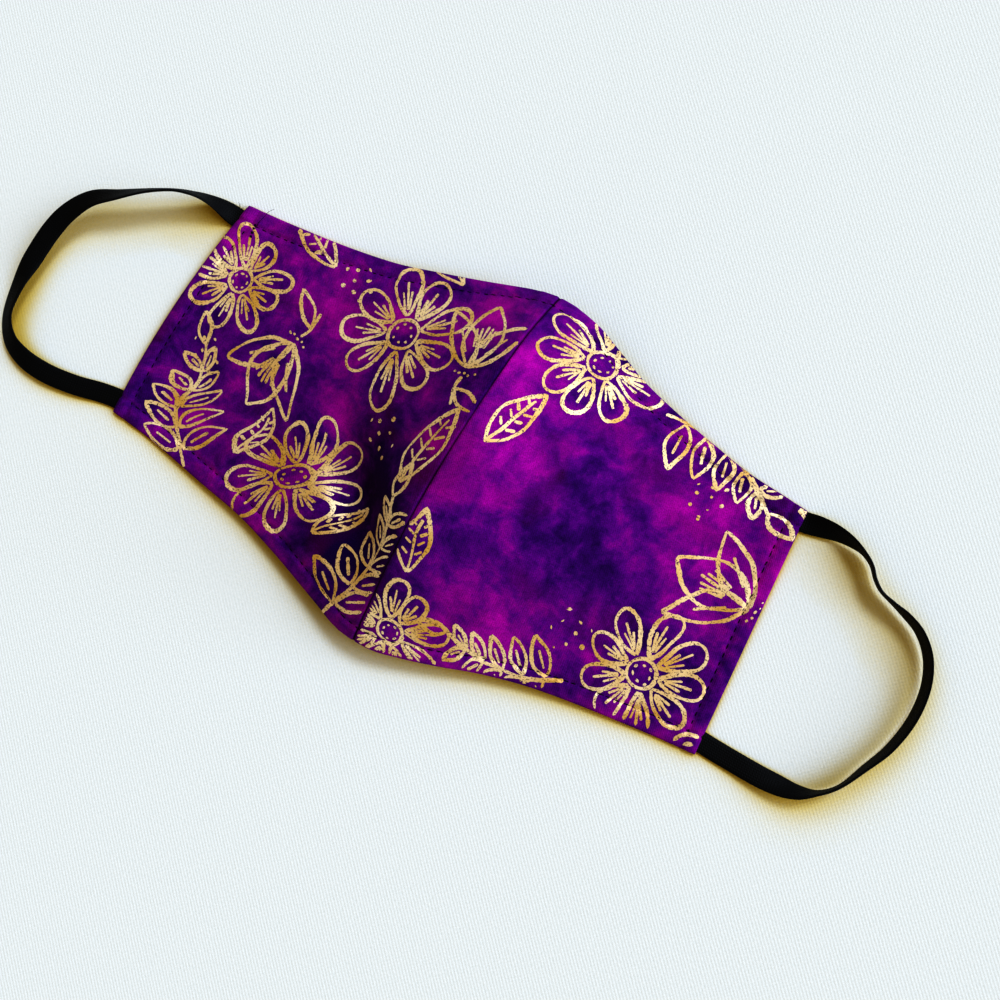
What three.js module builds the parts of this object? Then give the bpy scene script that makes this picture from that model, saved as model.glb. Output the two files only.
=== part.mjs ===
// A contoured cloth face mask lying with its inside down on a flat surface.
// Two cloth panels meet at a raised centre seam that runs from chin to nose,
// and a flat elastic loop leaves the two corners of each side edge.
// Millimetres: +X across the mask to its right, +Y from chin to nose, +Z up.

import * as THREE from 'three';

// Driving dimensions
const CLOTH_THICKNESS = 1.6;
const PIECE_GAP = 0.3;
const STRAP_WIDTH = 6.35;
const STRAP_THICKNESS = 1.0;
const LEFT_EDGE_BULGE = 2.5;

// Mesh fineness
const PANEL_COLUMNS = 30;
const PANEL_ROWS = 28;
const COLUMN_CROWDING = 1.2;
const STRAP_STEPS = 60;
const NORMAL_STEP = 0.004;

// Colours of the two materials
const CLOTH_COLOUR = 0x4a0d78;
const ELASTIC_COLOUR = 0x0c0e12;

// Ends of the centre seam and of each side edge, seen from above
const SEAM = { chinX: 1.5, noseX: 4.8 };
const SIDE_EDGE = {
  left: { chinX: -104.2, noseX: -99.8 },
  right: { chinX: 104.8, noseX: 98.7 },
};

// One row for each section, from the seam (0) to the side edge (1). chinY and chinZ
// place the lower edge, noseY and noseZ the upper edge, and crown is the height that
// the middle of the section rises above the line between the two.
const SECTIONS = {
  left: [
    { across: 0.00, chinY: -61.2, chinZ: 9.0, noseY: 58.0, noseZ: 13.0, crown: 24.0 },
    { across: 0.06, chinY: -60.6, chinZ: 8.6, noseY: 57.2, noseZ: 12.0, crown: 21.8 },
    { across: 0.15, chinY: -57.7, chinZ: 7.6, noseY: 54.8, noseZ: 10.2, crown: 17.6 },
    { across: 0.25, chinY: -54.4, chinZ: 6.5, noseY: 51.9, noseZ: 8.6, crown: 13.4 },
    { across: 0.35, chinY: -51.1, chinZ: 5.4, noseY: 49.0, noseZ: 7.2, crown: 10.2 },
    { across: 0.50, chinY: -46.9, chinZ: 3.9, noseY: 45.0, noseZ: 5.0, crown: 6.6 },
    { across: 0.65, chinY: -44.4, chinZ: 2.7, noseY: 42.6, noseZ: 3.3, crown: 3.6 },
    { across: 0.80, chinY: -41.7, chinZ: 1.9, noseY: 40.9, noseZ: 2.1, crown: 1.3 },
    { across: 0.90, chinY: -40.3, chinZ: 1.6, noseY: 40.0, noseZ: 1.6, crown: 0.0 },
    { across: 1.00, chinY: -39.3, chinZ: 1.6, noseY: 39.2, noseZ: 1.6, crown: 0.0 },
  ],
  right: [
    { across: 0.00, chinY: -61.2, chinZ: 9.0, noseY: 58.0, noseZ: 13.0, crown: 24.0 },
    { across: 0.06, chinY: -60.9, chinZ: 8.8, noseY: 57.9, noseZ: 12.4, crown: 22.8 },
    { across: 0.14, chinY: -58.9, chinZ: 8.0, noseY: 56.7, noseZ: 11.3, crown: 20.2 },
    { across: 0.24, chinY: -55.5, chinZ: 6.8, noseY: 53.3, noseZ: 9.9, crown: 16.4 },
    { across: 0.36, chinY: -50.9, chinZ: 5.2, noseY: 48.9, noseZ: 7.9, crown: 12.0 },
    { across: 0.50, chinY: -46.9, chinZ: 3.8, noseY: 45.7, noseZ: 5.8, crown: 7.6 },
    { across: 0.65, chinY: -44.1, chinZ: 2.7, noseY: 43.0, noseZ: 3.7, crown: 4.0 },
    { across: 0.80, chinY: -41.8, chinZ: 1.9, noseY: 40.6, noseZ: 2.2, crown: 1.3 },
    { across: 0.90, chinY: -40.4, chinZ: 1.6, noseY: 40.0, noseZ: 1.6, crown: 0.0 },
    { across: 1.00, chinY: -39.3, chinZ: 1.6, noseY: 39.2, noseZ: 1.6, crown: 0.0 },
  ],
};

// Share of the crown reached along a section, from chin (0) to nose (1): ridge holds
// at the seam, and flank from FLANK_FROM of the way across.
const FLANK_FROM = 0.3;
const PROFILE = [
  { along: 0.00, ridge: 0.00, flank: 0.00 },
  { along: 0.06, ridge: 0.22, flank: 0.17 },
  { along: 0.14, ridge: 0.44, flank: 0.40 },
  { along: 0.26, ridge: 0.75, flank: 0.71 },
  { along: 0.39, ridge: 0.95, flank: 0.94 },
  { along: 0.52, ridge: 1.00, flank: 1.00 },
  { along: 0.64, ridge: 0.93, flank: 0.92 },
  { along: 0.75, ridge: 0.81, flank: 0.73 },
  { along: 0.84, ridge: 0.65, flank: 0.51 },
  { along: 0.93, ridge: 0.35, flank: 0.23 },
  { along: 1.00, ridge: 0.00, flank: 0.00 },
];

// Soft dents pressed into the cloth: centre, half lengths along and across each
// dent, its turn from the Y axis in degrees, and its depth. A dent reaches its full
// depth where the section rises by FULL_DENT_RISE or more. The first one is the side
// of the cup that has sunk in between the ridge and the chin edge.
const FULL_DENT_RISE = 4;
const DENTS = {
  left: [
    { x: -17.5, y: -24, along: 20, across: 9.5, turn: -40, depth: 10.5 },
    { x: -46, y: 8, along: 24, across: 12, turn: 20, depth: 1.0 },
  ],
  right: [
    { x: 56, y: -20, along: 22, across: 11, turn: -25, depth: 1.2 },
  ],
};

// Route of each loop's middle line from the nose corner to the chin corner. lean is
// the angle of the strap's width above the flat: 0 lies flat, 90 stands on edge.
const LOOP_ROUTE = {
  left: [
    { x: -101.4, y: 34.0, z: 0.8, lean: 0 },
    { x: -105.4, y: 34.3, z: 2.4, lean: 24 },
    { x: -109.0, y: 34.2, z: 4.6, lean: 46 },
    { x: -112.6, y: 33.6, z: 6.8, lean: 60 },
    { x: -116.3, y: 32.4, z: 8.4, lean: 67 },
    { x: -120.0, y: 30.8, z: 9.4, lean: 70 },
    { x: -126.6, y: 26.9, z: 10.0, lean: 62 },
    { x: -135.5, y: 20.7, z: 9.8, lean: 40 },
    { x: -143.0, y: 15.5, z: 9.0, lean: 14 },
    { x: -147.9, y: 8.4, z: 7.8, lean: -4 },
    { x: -150.4, y: 1.2, z: 6.6, lean: -12 },
    { x: -151.9, y: -9.1, z: 5.2, lean: -8 },
    { x: -152.2, y: -19.6, z: 4.4, lean: 24 },
    { x: -150.2, y: -30.0, z: 4.0, lean: 38 },
    { x: -145.4, y: -36.0, z: 3.6, lean: 30 },
    { x: -138.8, y: -38.8, z: 3.0, lean: 16 },
    { x: -130.0, y: -39.5, z: 2.2, lean: 4 },
    { x: -119.4, y: -38.1, z: 1.4, lean: 0 },
    { x: -111.0, y: -36.0, z: 0.9, lean: 0 },
    { x: -105.0, y: -35.0, z: 0.8, lean: 0 },
  ],
  right: [
    { x: 99.5, y: 36.0, z: 0.8, lean: 0 },
    { x: 104.1, y: 36.8, z: 2.3, lean: 26 },
    { x: 108.7, y: 37.3, z: 3.6, lean: 50 },
    { x: 113.7, y: 37.0, z: 4.4, lean: 72 },
    { x: 118.1, y: 35.8, z: 4.9, lean: 90 },
    { x: 121.6, y: 33.7, z: 5.1, lean: 96 },
    { x: 124.2, y: 30.8, z: 5.2, lean: 98 },
    { x: 127.4, y: 28.5, z: 5.2, lean: 98 },
    { x: 131.9, y: 27.2, z: 5.2, lean: 92 },
    { x: 136.9, y: 25.9, z: 5.1, lean: 82 },
    { x: 142.2, y: 23.6, z: 5.0, lean: 80 },
    { x: 147.3, y: 18.8, z: 4.8, lean: 79 },
    { x: 150.8, y: 11.5, z: 4.7, lean: 79 },
    { x: 152.1, y: 1.5, z: 4.5, lean: 79 },
    { x: 150.6, y: -9.4, z: 4.3, lean: 81 },
    { x: 147.3, y: -18.0, z: 4.2, lean: 87 },
    { x: 143.8, y: -26.0, z: 4.2, lean: 96 },
    { x: 140.1, y: -30.2, z: 4.1, lean: 90 },
    { x: 134.6, y: -33.4, z: 3.5, lean: 56 },
    { x: 126.6, y: -34.9, z: 2.4, lean: 18 },
    { x: 115.0, y: -35.3, z: 1.2, lean: 0 },
    { x: 105.4, y: -35.2, z: 0.8, lean: 0 },
  ],
};

// Slope of a smooth curve at one row, flat where the values stop or turn
function slopeAt(rows, key, column, index) {
  const secant = (a, b) => (rows[b][column] - rows[a][column]) / (rows[b][key] - rows[a][key]);
  if (index === 0) return secant(0, 1);
  const last = rows.length - 1;
  if (index === last) return secant(last - 1, last);
  const before = secant(index - 1, index);
  const after = secant(index, index + 1);
  return before * after <= 0 ? 0 : (2 * before * after) / (before + after);
}

// Value of a column read from the rows by a cubic that never overshoots them
function readTable(rows, key, column, at) {
  let index = 0;
  while (index < rows.length - 2 && at > rows[index + 1][key]) index += 1;
  const span = rows[index + 1][key] - rows[index][key];
  const t = (at - rows[index][key]) / span;
  const startSlope = slopeAt(rows, key, column, index) * span;
  const endSlope = slopeAt(rows, key, column, index + 1) * span;
  const start = rows[index][column];
  const end = rows[index + 1][column];
  return (2 * t ** 3 - 3 * t ** 2 + 1) * start + (t ** 3 - 2 * t ** 2 + t) * startSlope
    + (3 * t ** 2 - 2 * t ** 3) * end + (t ** 3 - t ** 2) * endSlope;
}

const mix = (start, end, share) => start + (end - start) * share;

// Depth that one dent presses the cloth down at a place seen from above
function dentDepth(dent, x, y) {
  const turn = THREE.MathUtils.degToRad(dent.turn);
  const alongDent = (x - dent.x) * Math.sin(turn) + (y - dent.y) * Math.cos(turn);
  const acrossDent = (x - dent.x) * Math.cos(turn) - (y - dent.y) * Math.sin(turn);
  return dent.depth * Math.exp(-((alongDent / dent.along) ** 2) - (acrossDent / dent.across) ** 2);
}

// A point of a panel's outer face: across 0 is the seam, along 0 is the chin edge
function outerPoint(side, across, along) {
  const sections = SECTIONS[side];
  const away = side === 'left' ? -1 : 1;
  const read = (column) => readTable(sections, 'across', column, across);
  const chinX = mix(SEAM.chinX, SIDE_EDGE[side].chinX, across);
  const noseX = mix(SEAM.noseX, SIDE_EDGE[side].noseX, across);
  const bulge = side === 'left' ? LEFT_EDGE_BULGE * across ** 3 * 4 * along * (1 - along) : 0;
  const gapShift = (PIECE_GAP / 2) * (1 - across);
  const x = mix(chinX, noseX, along) + away * (gapShift + bulge);
  const y = mix(read('chinY'), read('noseY'), along);
  const ridge = readTable(PROFILE, 'along', 'ridge', along);
  const flank = readTable(PROFILE, 'along', 'flank', along);
  const rise = read('crown') * mix(ridge, flank, Math.min(across / FLANK_FROM, 1));
  const dents = DENTS[side].reduce((sum, dent) => sum + dentDepth(dent, x, y), 0);
  const crownShare = Math.min(1, rise / FULL_DENT_RISE);
  const z = mix(read('chinZ'), read('noseZ'), along) + rise - dents * crownShare;
  return new THREE.Vector3(x, y, Math.max(z, CLOTH_THICKNESS));
}

// Outward normal of the outer face. On the seam it is held in the seam's own plane.
function outerNormal(side, across, along) {
  const a0 = Math.max(across - NORMAL_STEP, 0);
  const a1 = Math.min(across + NORMAL_STEP, 1);
  const b0 = Math.max(along - NORMAL_STEP, 0);
  const b1 = Math.min(along + NORMAL_STEP, 1);
  const acrossward = outerPoint(side, a1, along).sub(outerPoint(side, a0, along));
  const alongward = outerPoint(side, across, b1).sub(outerPoint(side, across, b0));
  const normal = side === 'left' ? alongward.cross(acrossward) : acrossward.cross(alongward);
  if (across === 0) normal.x = 0;
  return normal.normalize();
}

// A closed wall from two grids of points, the outer face and the inner face
function wallGeometry(outerGrid, innerGrid, reversed) {
  const columns = outerGrid.length;
  const rows = outerGrid[0].length;
  const positions = [];
  outerGrid.concat(innerGrid).forEach((column) => {
    column.forEach((point) => positions.push(point.x, point.y, point.z));
  });
  const outer = (column, row) => column * rows + row;
  const inner = (column, row) => (columns + column) * rows + row;
  const index = [];
  const quad = (a, b, c, d) => {
    const corners = reversed ? [a, c, b, a, d, c] : [a, b, c, a, c, d];
    index.push(...corners);
  };
  for (let i = 0; i < columns - 1; i += 1) {
    for (let j = 0; j < rows - 1; j += 1) {
      quad(outer(i, j), outer(i + 1, j), outer(i + 1, j + 1), outer(i, j + 1));
      quad(inner(i, j), inner(i, j + 1), inner(i + 1, j + 1), inner(i + 1, j));
    }
    quad(outer(i, 0), inner(i, 0), inner(i + 1, 0), outer(i + 1, 0));
    const last = rows - 1;
    quad(outer(i + 1, last), inner(i + 1, last), inner(i, last), outer(i, last));
  }
  for (let j = 0; j < rows - 1; j += 1) {
    const last = columns - 1;
    quad(outer(0, j + 1), inner(0, j + 1), inner(0, j), outer(0, j));
    quad(outer(last, j), inner(last, j), inner(last, j + 1), outer(last, j + 1));
  }
  const geometry = new THREE.BufferGeometry();
  geometry.setAttribute('position', new THREE.Float32BufferAttribute(positions, 3));
  geometry.setIndex(index);
  geometry.computeVertexNormals();
  return geometry;
}

// One cloth half of the mask
function panelGeometry(side) {
  const outerGrid = [];
  const innerGrid = [];
  for (let i = 0; i <= PANEL_COLUMNS; i += 1) {
    const across = (i / PANEL_COLUMNS) ** COLUMN_CROWDING;
    const outerColumn = [];
    const innerColumn = [];
    for (let j = 0; j <= PANEL_ROWS; j += 1) {
      const along = j / PANEL_ROWS;
      const point = outerPoint(side, across, along);
      const normal = outerNormal(side, across, along);
      outerColumn.push(point);
      innerColumn.push(point.clone().addScaledVector(normal, -CLOTH_THICKNESS));
    }
    outerGrid.push(outerColumn);
    innerGrid.push(innerColumn);
  }
  return wallGeometry(outerGrid, innerGrid, side === 'left');
}

// One flat elastic loop, a strap of oblong section that leans as it goes round
function loopGeometry(side) {
  const route = LOOP_ROUTE[side];
  const stops = route.map((row, index) => ({ ...row, stop: index / (route.length - 1) }));
  const points = route.map((row) => new THREE.Vector3(row.x, row.y, row.z));
  const curve = new THREE.CatmullRomCurve3(points, false, 'centripetal');
  const up = new THREE.Vector3(0, 0, 1);
  const faceA = [[], []];
  const faceB = [[], []];
  for (let i = 0; i <= STRAP_STEPS; i += 1) {
    const stop = i / STRAP_STEPS;
    const centre = curve.getPoint(stop);
    const tangent = curve.getTangent(stop);
    const flat = up.clone().cross(tangent).normalize();
    const risen = tangent.clone().cross(flat).normalize();
    const lean = THREE.MathUtils.degToRad(readTable(stops, 'stop', 'lean', stop));
    const widthward = flat.clone().multiplyScalar(Math.cos(lean)).addScaledVector(risen, Math.sin(lean));
    const faceward = tangent.clone().cross(widthward).normalize();
    const corner = (w, f) => centre.clone()
      .addScaledVector(widthward, (w * STRAP_WIDTH) / 2)
      .addScaledVector(faceward, (f * STRAP_THICKNESS) / 2);
    faceA[0].push(corner(-1, 1));
    faceA[1].push(corner(1, 1));
    faceB[0].push(corner(-1, -1));
    faceB[1].push(corner(1, -1));
  }
  return wallGeometry(faceA, faceB, true);
}

function clothMaterial() {
  return new THREE.MeshStandardMaterial({ color: CLOTH_COLOUR, roughness: 0.85, metalness: 0 });
}

function elasticMaterial() {
  return new THREE.MeshStandardMaterial({ color: ELASTIC_COLOUR, roughness: 0.75, metalness: 0 });
}

function namedMesh(name, geometry, material) {
  const mesh = new THREE.Mesh(geometry, material);
  mesh.name = name;
  return mesh;
}

const mask = new THREE.Group();
['left', 'right'].forEach((side) => {
  mask.add(namedMesh(`${side}_panel`, panelGeometry(side), clothMaterial()));
  mask.add(namedMesh(`${side}_ear_loop`, loopGeometry(side), elasticMaterial()));
});

// The origin goes to the middle of the whole mask's footprint, on the surface
const bounds = new THREE.Box3().setFromObject(mask);
const middle = bounds.getCenter(new THREE.Vector3());
mask.position.set(-middle.x, -middle.y, -bounds.min.z);

export default mask;
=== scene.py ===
"""A contoured cloth face mask lying inside down on a pale surface.

Two printed cotton halves meet at a raised centre seam, with topstitched edges
and a flat black elastic loop at each side. Shapes are worked out in millimetres
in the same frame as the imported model, and turned into metres as meshes are made.
"""
import logging
import math
from dataclasses import dataclass, field
from enum import Enum
from typing import Callable, Sequence

import bpy
import numpy as np
from mathutils import Matrix, Vector


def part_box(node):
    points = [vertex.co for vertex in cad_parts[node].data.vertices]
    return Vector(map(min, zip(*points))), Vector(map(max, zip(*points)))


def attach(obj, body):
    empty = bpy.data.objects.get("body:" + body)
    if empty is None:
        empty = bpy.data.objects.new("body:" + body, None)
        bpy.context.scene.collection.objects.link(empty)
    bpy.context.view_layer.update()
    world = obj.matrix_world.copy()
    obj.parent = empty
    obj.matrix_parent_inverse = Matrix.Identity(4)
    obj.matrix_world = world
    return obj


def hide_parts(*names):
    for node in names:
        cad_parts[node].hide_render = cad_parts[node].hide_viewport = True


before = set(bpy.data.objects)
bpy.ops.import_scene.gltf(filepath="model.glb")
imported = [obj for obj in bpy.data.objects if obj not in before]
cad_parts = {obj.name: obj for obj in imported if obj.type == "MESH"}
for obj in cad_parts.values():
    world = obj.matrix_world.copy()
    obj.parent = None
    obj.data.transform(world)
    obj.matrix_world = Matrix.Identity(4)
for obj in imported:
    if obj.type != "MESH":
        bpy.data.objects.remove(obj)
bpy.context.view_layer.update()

LOG = logging.getLogger("face_mask")
MM = 0.001
ROOT_BODY = "root"


class Side(Enum):
    """The half of the mask that a piece belongs to, as seen from above."""

    LEFT = "left"
    RIGHT = "right"

    @property
    def away(self) -> int:
        """Sign of the direction that leads from the seam to this side."""
        return -1 if self is Side.LEFT else 1


class Edge(Enum):
    """An edge of a panel that carries a row of topstitching."""

    CHIN = "chin"
    NOSE = "nose"
    HEM = "hem"


@dataclass(frozen=True)
class Section:
    """One section of a panel, from its chin edge to its nose edge, in mm."""

    across: float
    chin_y: float
    chin_z: float
    nose_y: float
    nose_z: float
    crown: float


@dataclass(frozen=True)
class ProfileRow:
    """Share of the crown reached at one place along a section."""

    along: float
    ridge: float
    flank: float


@dataclass(frozen=True)
class Dent:
    """A soft dent: centre, half lengths, turn in degrees and depth, in mm."""

    x: float
    y: float
    along: float
    across: float
    turn: float
    depth: float

    def depth_at(self, x: np.ndarray, y: np.ndarray) -> np.ndarray:
        """Depth that the dent presses the cloth down at each place.

        Args:
            x: places across the mask, in mm.
            y: places from chin to nose, in mm.

        Returns:
            The depths, in mm.
        """
        turn = math.radians(self.turn)
        along = (x - self.x) * math.sin(turn) + (y - self.y) * math.cos(turn)
        across = (x - self.x) * math.cos(turn) - (y - self.y) * math.sin(turn)
        return self.depth * np.exp(-((along / self.along) ** 2) - (across / self.across) ** 2)


@dataclass(frozen=True)
class RouteRow:
    """A place on a loop's middle line, and the lean of its width in degrees."""

    x: float
    y: float
    z: float
    lean: float
    stop: float = 0.0


SECTIONS = {
    Side.LEFT: (
        Section(0.00, -61.2, 9.0, 58.0, 13.0, 24.0),
        Section(0.06, -60.6, 8.6, 57.2, 12.0, 21.8),
        Section(0.15, -57.7, 7.6, 54.8, 10.2, 17.6),
        Section(0.25, -54.4, 6.5, 51.9, 8.6, 13.4),
        Section(0.35, -51.1, 5.4, 49.0, 7.2, 10.2),
        Section(0.50, -46.9, 3.9, 45.0, 5.0, 6.6),
        Section(0.65, -44.4, 2.7, 42.6, 3.3, 3.6),
        Section(0.80, -41.7, 1.9, 40.9, 2.1, 1.3),
        Section(0.90, -40.3, 1.6, 40.0, 1.6, 0.0),
        Section(1.00, -39.3, 1.6, 39.2, 1.6, 0.0),
    ),
    Side.RIGHT: (
        Section(0.00, -61.2, 9.0, 58.0, 13.0, 24.0),
        Section(0.06, -60.9, 8.8, 57.9, 12.4, 22.8),
        Section(0.14, -58.9, 8.0, 56.7, 11.3, 20.2),
        Section(0.24, -55.5, 6.8, 53.3, 9.9, 16.4),
        Section(0.36, -50.9, 5.2, 48.9, 7.9, 12.0),
        Section(0.50, -46.9, 3.8, 45.7, 5.8, 7.6),
        Section(0.65, -44.1, 2.7, 43.0, 3.7, 4.0),
        Section(0.80, -41.8, 1.9, 40.6, 2.2, 1.3),
        Section(0.90, -40.4, 1.6, 40.0, 1.6, 0.0),
        Section(1.00, -39.3, 1.6, 39.2, 1.6, 0.0),
    ),
}

PROFILE = (
    ProfileRow(0.00, 0.00, 0.00),
    ProfileRow(0.06, 0.22, 0.17),
    ProfileRow(0.14, 0.44, 0.40),
    ProfileRow(0.26, 0.75, 0.71),
    ProfileRow(0.39, 0.95, 0.94),
    ProfileRow(0.52, 1.00, 1.00),
    ProfileRow(0.64, 0.93, 0.92),
    ProfileRow(0.75, 0.81, 0.73),
    ProfileRow(0.84, 0.65, 0.51),
    ProfileRow(0.93, 0.35, 0.23),
    ProfileRow(1.00, 0.00, 0.00),
)

DENTS = {
    Side.LEFT: (
        Dent(-17.5, -24, along=20, across=9.5, turn=-40, depth=10.5),
        Dent(-19, -8, along=13, across=4.2, turn=46, depth=1.6),
        Dent(-46, 8, along=24, across=12, turn=20, depth=1.0),
    ),
    Side.RIGHT: (Dent(56, -20, along=22, across=11, turn=-25, depth=1.2),),
}

LOOP_ROUTE = {
    Side.LEFT: (
        RouteRow(-101.4, 34.0, 0.8, 0),
        RouteRow(-105.4, 34.3, 2.4, 24),
        RouteRow(-109.0, 34.2, 4.6, 46),
        RouteRow(-112.6, 33.6, 6.8, 60),
        RouteRow(-116.3, 32.4, 8.4, 67),
        RouteRow(-120.0, 30.8, 9.4, 70),
        RouteRow(-126.6, 26.9, 10.0, 62),
        RouteRow(-135.5, 20.7, 9.8, 40),
        RouteRow(-143.0, 15.5, 9.0, 14),
        RouteRow(-147.9, 8.4, 7.8, -4),
        RouteRow(-150.4, 1.2, 6.6, -12),
        RouteRow(-151.9, -9.1, 5.2, -8),
        RouteRow(-152.2, -19.6, 4.4, 24),
        RouteRow(-150.2, -30.0, 4.0, 38),
        RouteRow(-145.4, -36.0, 3.6, 30),
        RouteRow(-138.8, -38.8, 3.0, 16),
        RouteRow(-130.0, -39.5, 2.2, 4),
        RouteRow(-119.4, -38.1, 1.4, 0),
        RouteRow(-111.0, -36.0, 0.9, 0),
        RouteRow(-105.0, -35.0, 0.8, 0),
    ),
    Side.RIGHT: (
        RouteRow(99.5, 36.0, 0.8, 0),
        RouteRow(104.1, 36.8, 2.3, 26),
        RouteRow(108.7, 37.3, 3.6, 50),
        RouteRow(113.7, 37.0, 4.4, 72),
        RouteRow(118.1, 35.8, 4.9, 90),
        RouteRow(121.6, 33.7, 5.1, 96),
        RouteRow(124.2, 30.8, 5.2, 98),
        RouteRow(127.4, 28.5, 5.2, 98),
        RouteRow(131.9, 27.2, 5.2, 92),
        RouteRow(136.9, 25.9, 5.1, 82),
        RouteRow(142.2, 23.6, 5.0, 80),
        RouteRow(147.3, 18.8, 4.8, 79),
        RouteRow(150.8, 11.5, 4.7, 79),
        RouteRow(152.1, 1.5, 4.5, 79),
        RouteRow(150.6, -9.4, 4.3, 81),
        RouteRow(147.3, -18.0, 4.2, 87),
        RouteRow(143.8, -26.0, 4.2, 96),
        RouteRow(140.1, -30.2, 4.1, 90),
        RouteRow(134.6, -33.4, 3.5, 56),
        RouteRow(126.6, -34.9, 2.4, 18),
        RouteRow(115.0, -35.3, 1.2, 0),
        RouteRow(105.4, -35.2, 0.8, 0),
    ),
}


def mix(start: np.ndarray | float, end: np.ndarray | float, share: np.ndarray | float) -> np.ndarray:
    """Blend between two values by a share from 0 to 1."""
    return start + (end - start) * share


def smooth_step(value: np.ndarray, low: float, high: float) -> np.ndarray:
    """Rise smoothly from 0 at low to 1 at high."""
    t = np.clip((value - low) / (high - low), 0.0, 1.0)
    return t * t * (3.0 - 2.0 * t)


def hermite(
    t: np.ndarray, start: np.ndarray, end: np.ndarray, first: np.ndarray, last: np.ndarray
) -> np.ndarray:
    """Cubic from one value to another with a given slope at each end.

    Args:
        t: shares of the way, from 0 to 1.
        start: values where t is 0.
        end: values where t is 1.
        first: slopes where t is 0.
        last: slopes where t is 1.

    Returns:
        The cubic's values.
    """
    return (
        (2 * t**3 - 3 * t**2 + 1) * start
        + (t**3 - 2 * t**2 + t) * first
        + (3 * t**2 - 2 * t**3) * end
        + (t**3 - t**2) * last
    )


def read_table(rows: Sequence[object], key: str, column: str, at: np.ndarray) -> np.ndarray:
    """Read a column of a table by a cubic that never overshoots its rows.

    Args:
        rows: the table's rows, in rising order of key.
        key: name of the column that at is measured along.
        column: name of the column to read.
        at: places to read at.

    Returns:
        The column's values at those places.
    """
    keys = np.array([getattr(row, key) for row in rows])
    values = np.array([getattr(row, column) for row in rows])
    secants = np.diff(values) / np.diff(keys)
    before, after = secants[:-1], secants[1:]
    product = before * after
    total = np.where(product > 0, before + after, 1.0)
    inner = np.where(product > 0, 2.0 * product / total, 0.0)
    slopes = np.concatenate((secants[:1], inner, secants[-1:]))
    index = np.clip(np.searchsorted(keys, at, side="left") - 1, 0, len(keys) - 2)
    span = keys[index + 1] - keys[index]
    t = (at - keys[index]) / span
    start, end = values[index], values[index + 1]
    start_slope, end_slope = slopes[index] * span, slopes[index + 1] * span
    return hermite(t, start, end, start_slope, end_slope)


def unit(vectors: np.ndarray) -> np.ndarray:
    """Scale vectors along the last axis to length one."""
    return vectors / np.linalg.norm(vectors, axis=-1, keepdims=True)


def step_lengths(points: np.ndarray, axis: int) -> np.ndarray:
    """Distances walked along one axis of a grid of points, starting at 0.

    Args:
        points: places, with their coordinates along the last axis.
        axis: the grid's axis to walk along.

    Returns:
        The distance walked at each place.
    """
    steps = np.linalg.norm(np.diff(points, axis=axis), axis=-1)
    pad = [(0, 0)] * steps.ndim
    pad[axis] = (1, 0)
    return np.cumsum(np.pad(steps, pad), axis=axis)


def frame_shift() -> np.ndarray:
    """Shift from the drawing's origin to the frame's, in mm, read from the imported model.

    Returns:
        The shift along X, Y and Z.
    """
    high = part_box("right_panel")[1]
    right_reach = PanelShape.HEM_X[Side.RIGHT][0]
    nose_reach = SECTIONS[Side.RIGHT][0].nose_y
    return np.array([high[0] / MM - right_reach, high[1] / MM - nose_reach, 0.0])


def add_object(name: str, mesh: bpy.types.Mesh) -> bpy.types.Object:
    """Link a mesh to the scene as an object at the origin.

    Args:
        name: the object's name.
        mesh: its mesh.

    Returns:
        The new object.
    """
    piece = bpy.data.objects.new(name, mesh)
    bpy.context.scene.collection.objects.link(piece)
    return piece


def mesh_from_arrays(
    name: str,
    points: np.ndarray,
    faces: np.ndarray,
    uv: np.ndarray | None = None,
    slots: np.ndarray | None = None,
) -> bpy.types.Mesh:
    """Make a smooth mesh from arrays.

    Args:
        name: the mesh's name.
        points: corner places in mm, one row each.
        faces: four corner numbers for each face.
        uv: a UV pair for each corner, or None.
        slots: a material slot number for each face, or None.

    Returns:
        The new mesh, in metres.
    """
    mesh = bpy.data.meshes.new(name)
    mesh.vertices.add(len(points))
    mesh.vertices.foreach_set("co", (points * MM).astype(np.float32).ravel())
    mesh.loops.add(faces.size)
    mesh.loops.foreach_set("vertex_index", faces.astype(np.int32).ravel())
    mesh.polygons.add(len(faces))
    mesh.polygons.foreach_set("loop_start", np.arange(0, faces.size, 4, dtype=np.int32))
    if slots is not None:
        mesh.polygons.foreach_set("material_index", slots.astype(np.int32))
    mesh.update(calc_edges=True)
    if uv is not None:
        layer = mesh.uv_layers.new(name="cut")
        layer.data.foreach_set("uv", uv[faces.ravel()].astype(np.float32).ravel())
    mesh.validate()
    mesh.shade_smooth()
    return mesh


def grid_faces(columns: int, rows: int, start: int = 0) -> np.ndarray:
    """Corner numbers of the faces of a grid stored column by column.

    Args:
        columns: points across the grid.
        rows: points in each column.
        start: number of the first point.

    Returns:
        Four corner numbers for each face.
    """
    i, j = np.meshgrid(np.arange(columns - 1), np.arange(rows - 1), indexing="ij")
    corner = start + i * rows + j
    return np.stack([corner, corner + rows, corner + rows + 1, corner + 1], axis=-1).reshape(-1, 4)


def graded_stops(length: float, step: float, fine: Sequence[float]) -> np.ndarray:
    """Shares from 0 to 1 with even steps in between and fine ones at both ends.

    Args:
        length: the length that the shares cover, in mm.
        step: the even step, in mm.
        fine: rising distances from each end, in mm, the first of them 0.

    Returns:
        The shares, in rising order.
    """
    ends = np.array(fine)
    count = int(round((length - 2 * ends[-1]) / step))
    middle = np.linspace(ends[-1], length - ends[-1], count + 1)
    stops = np.concatenate((ends[:-1], middle, (length - ends[:-1])[::-1]))
    return stops / length


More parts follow.
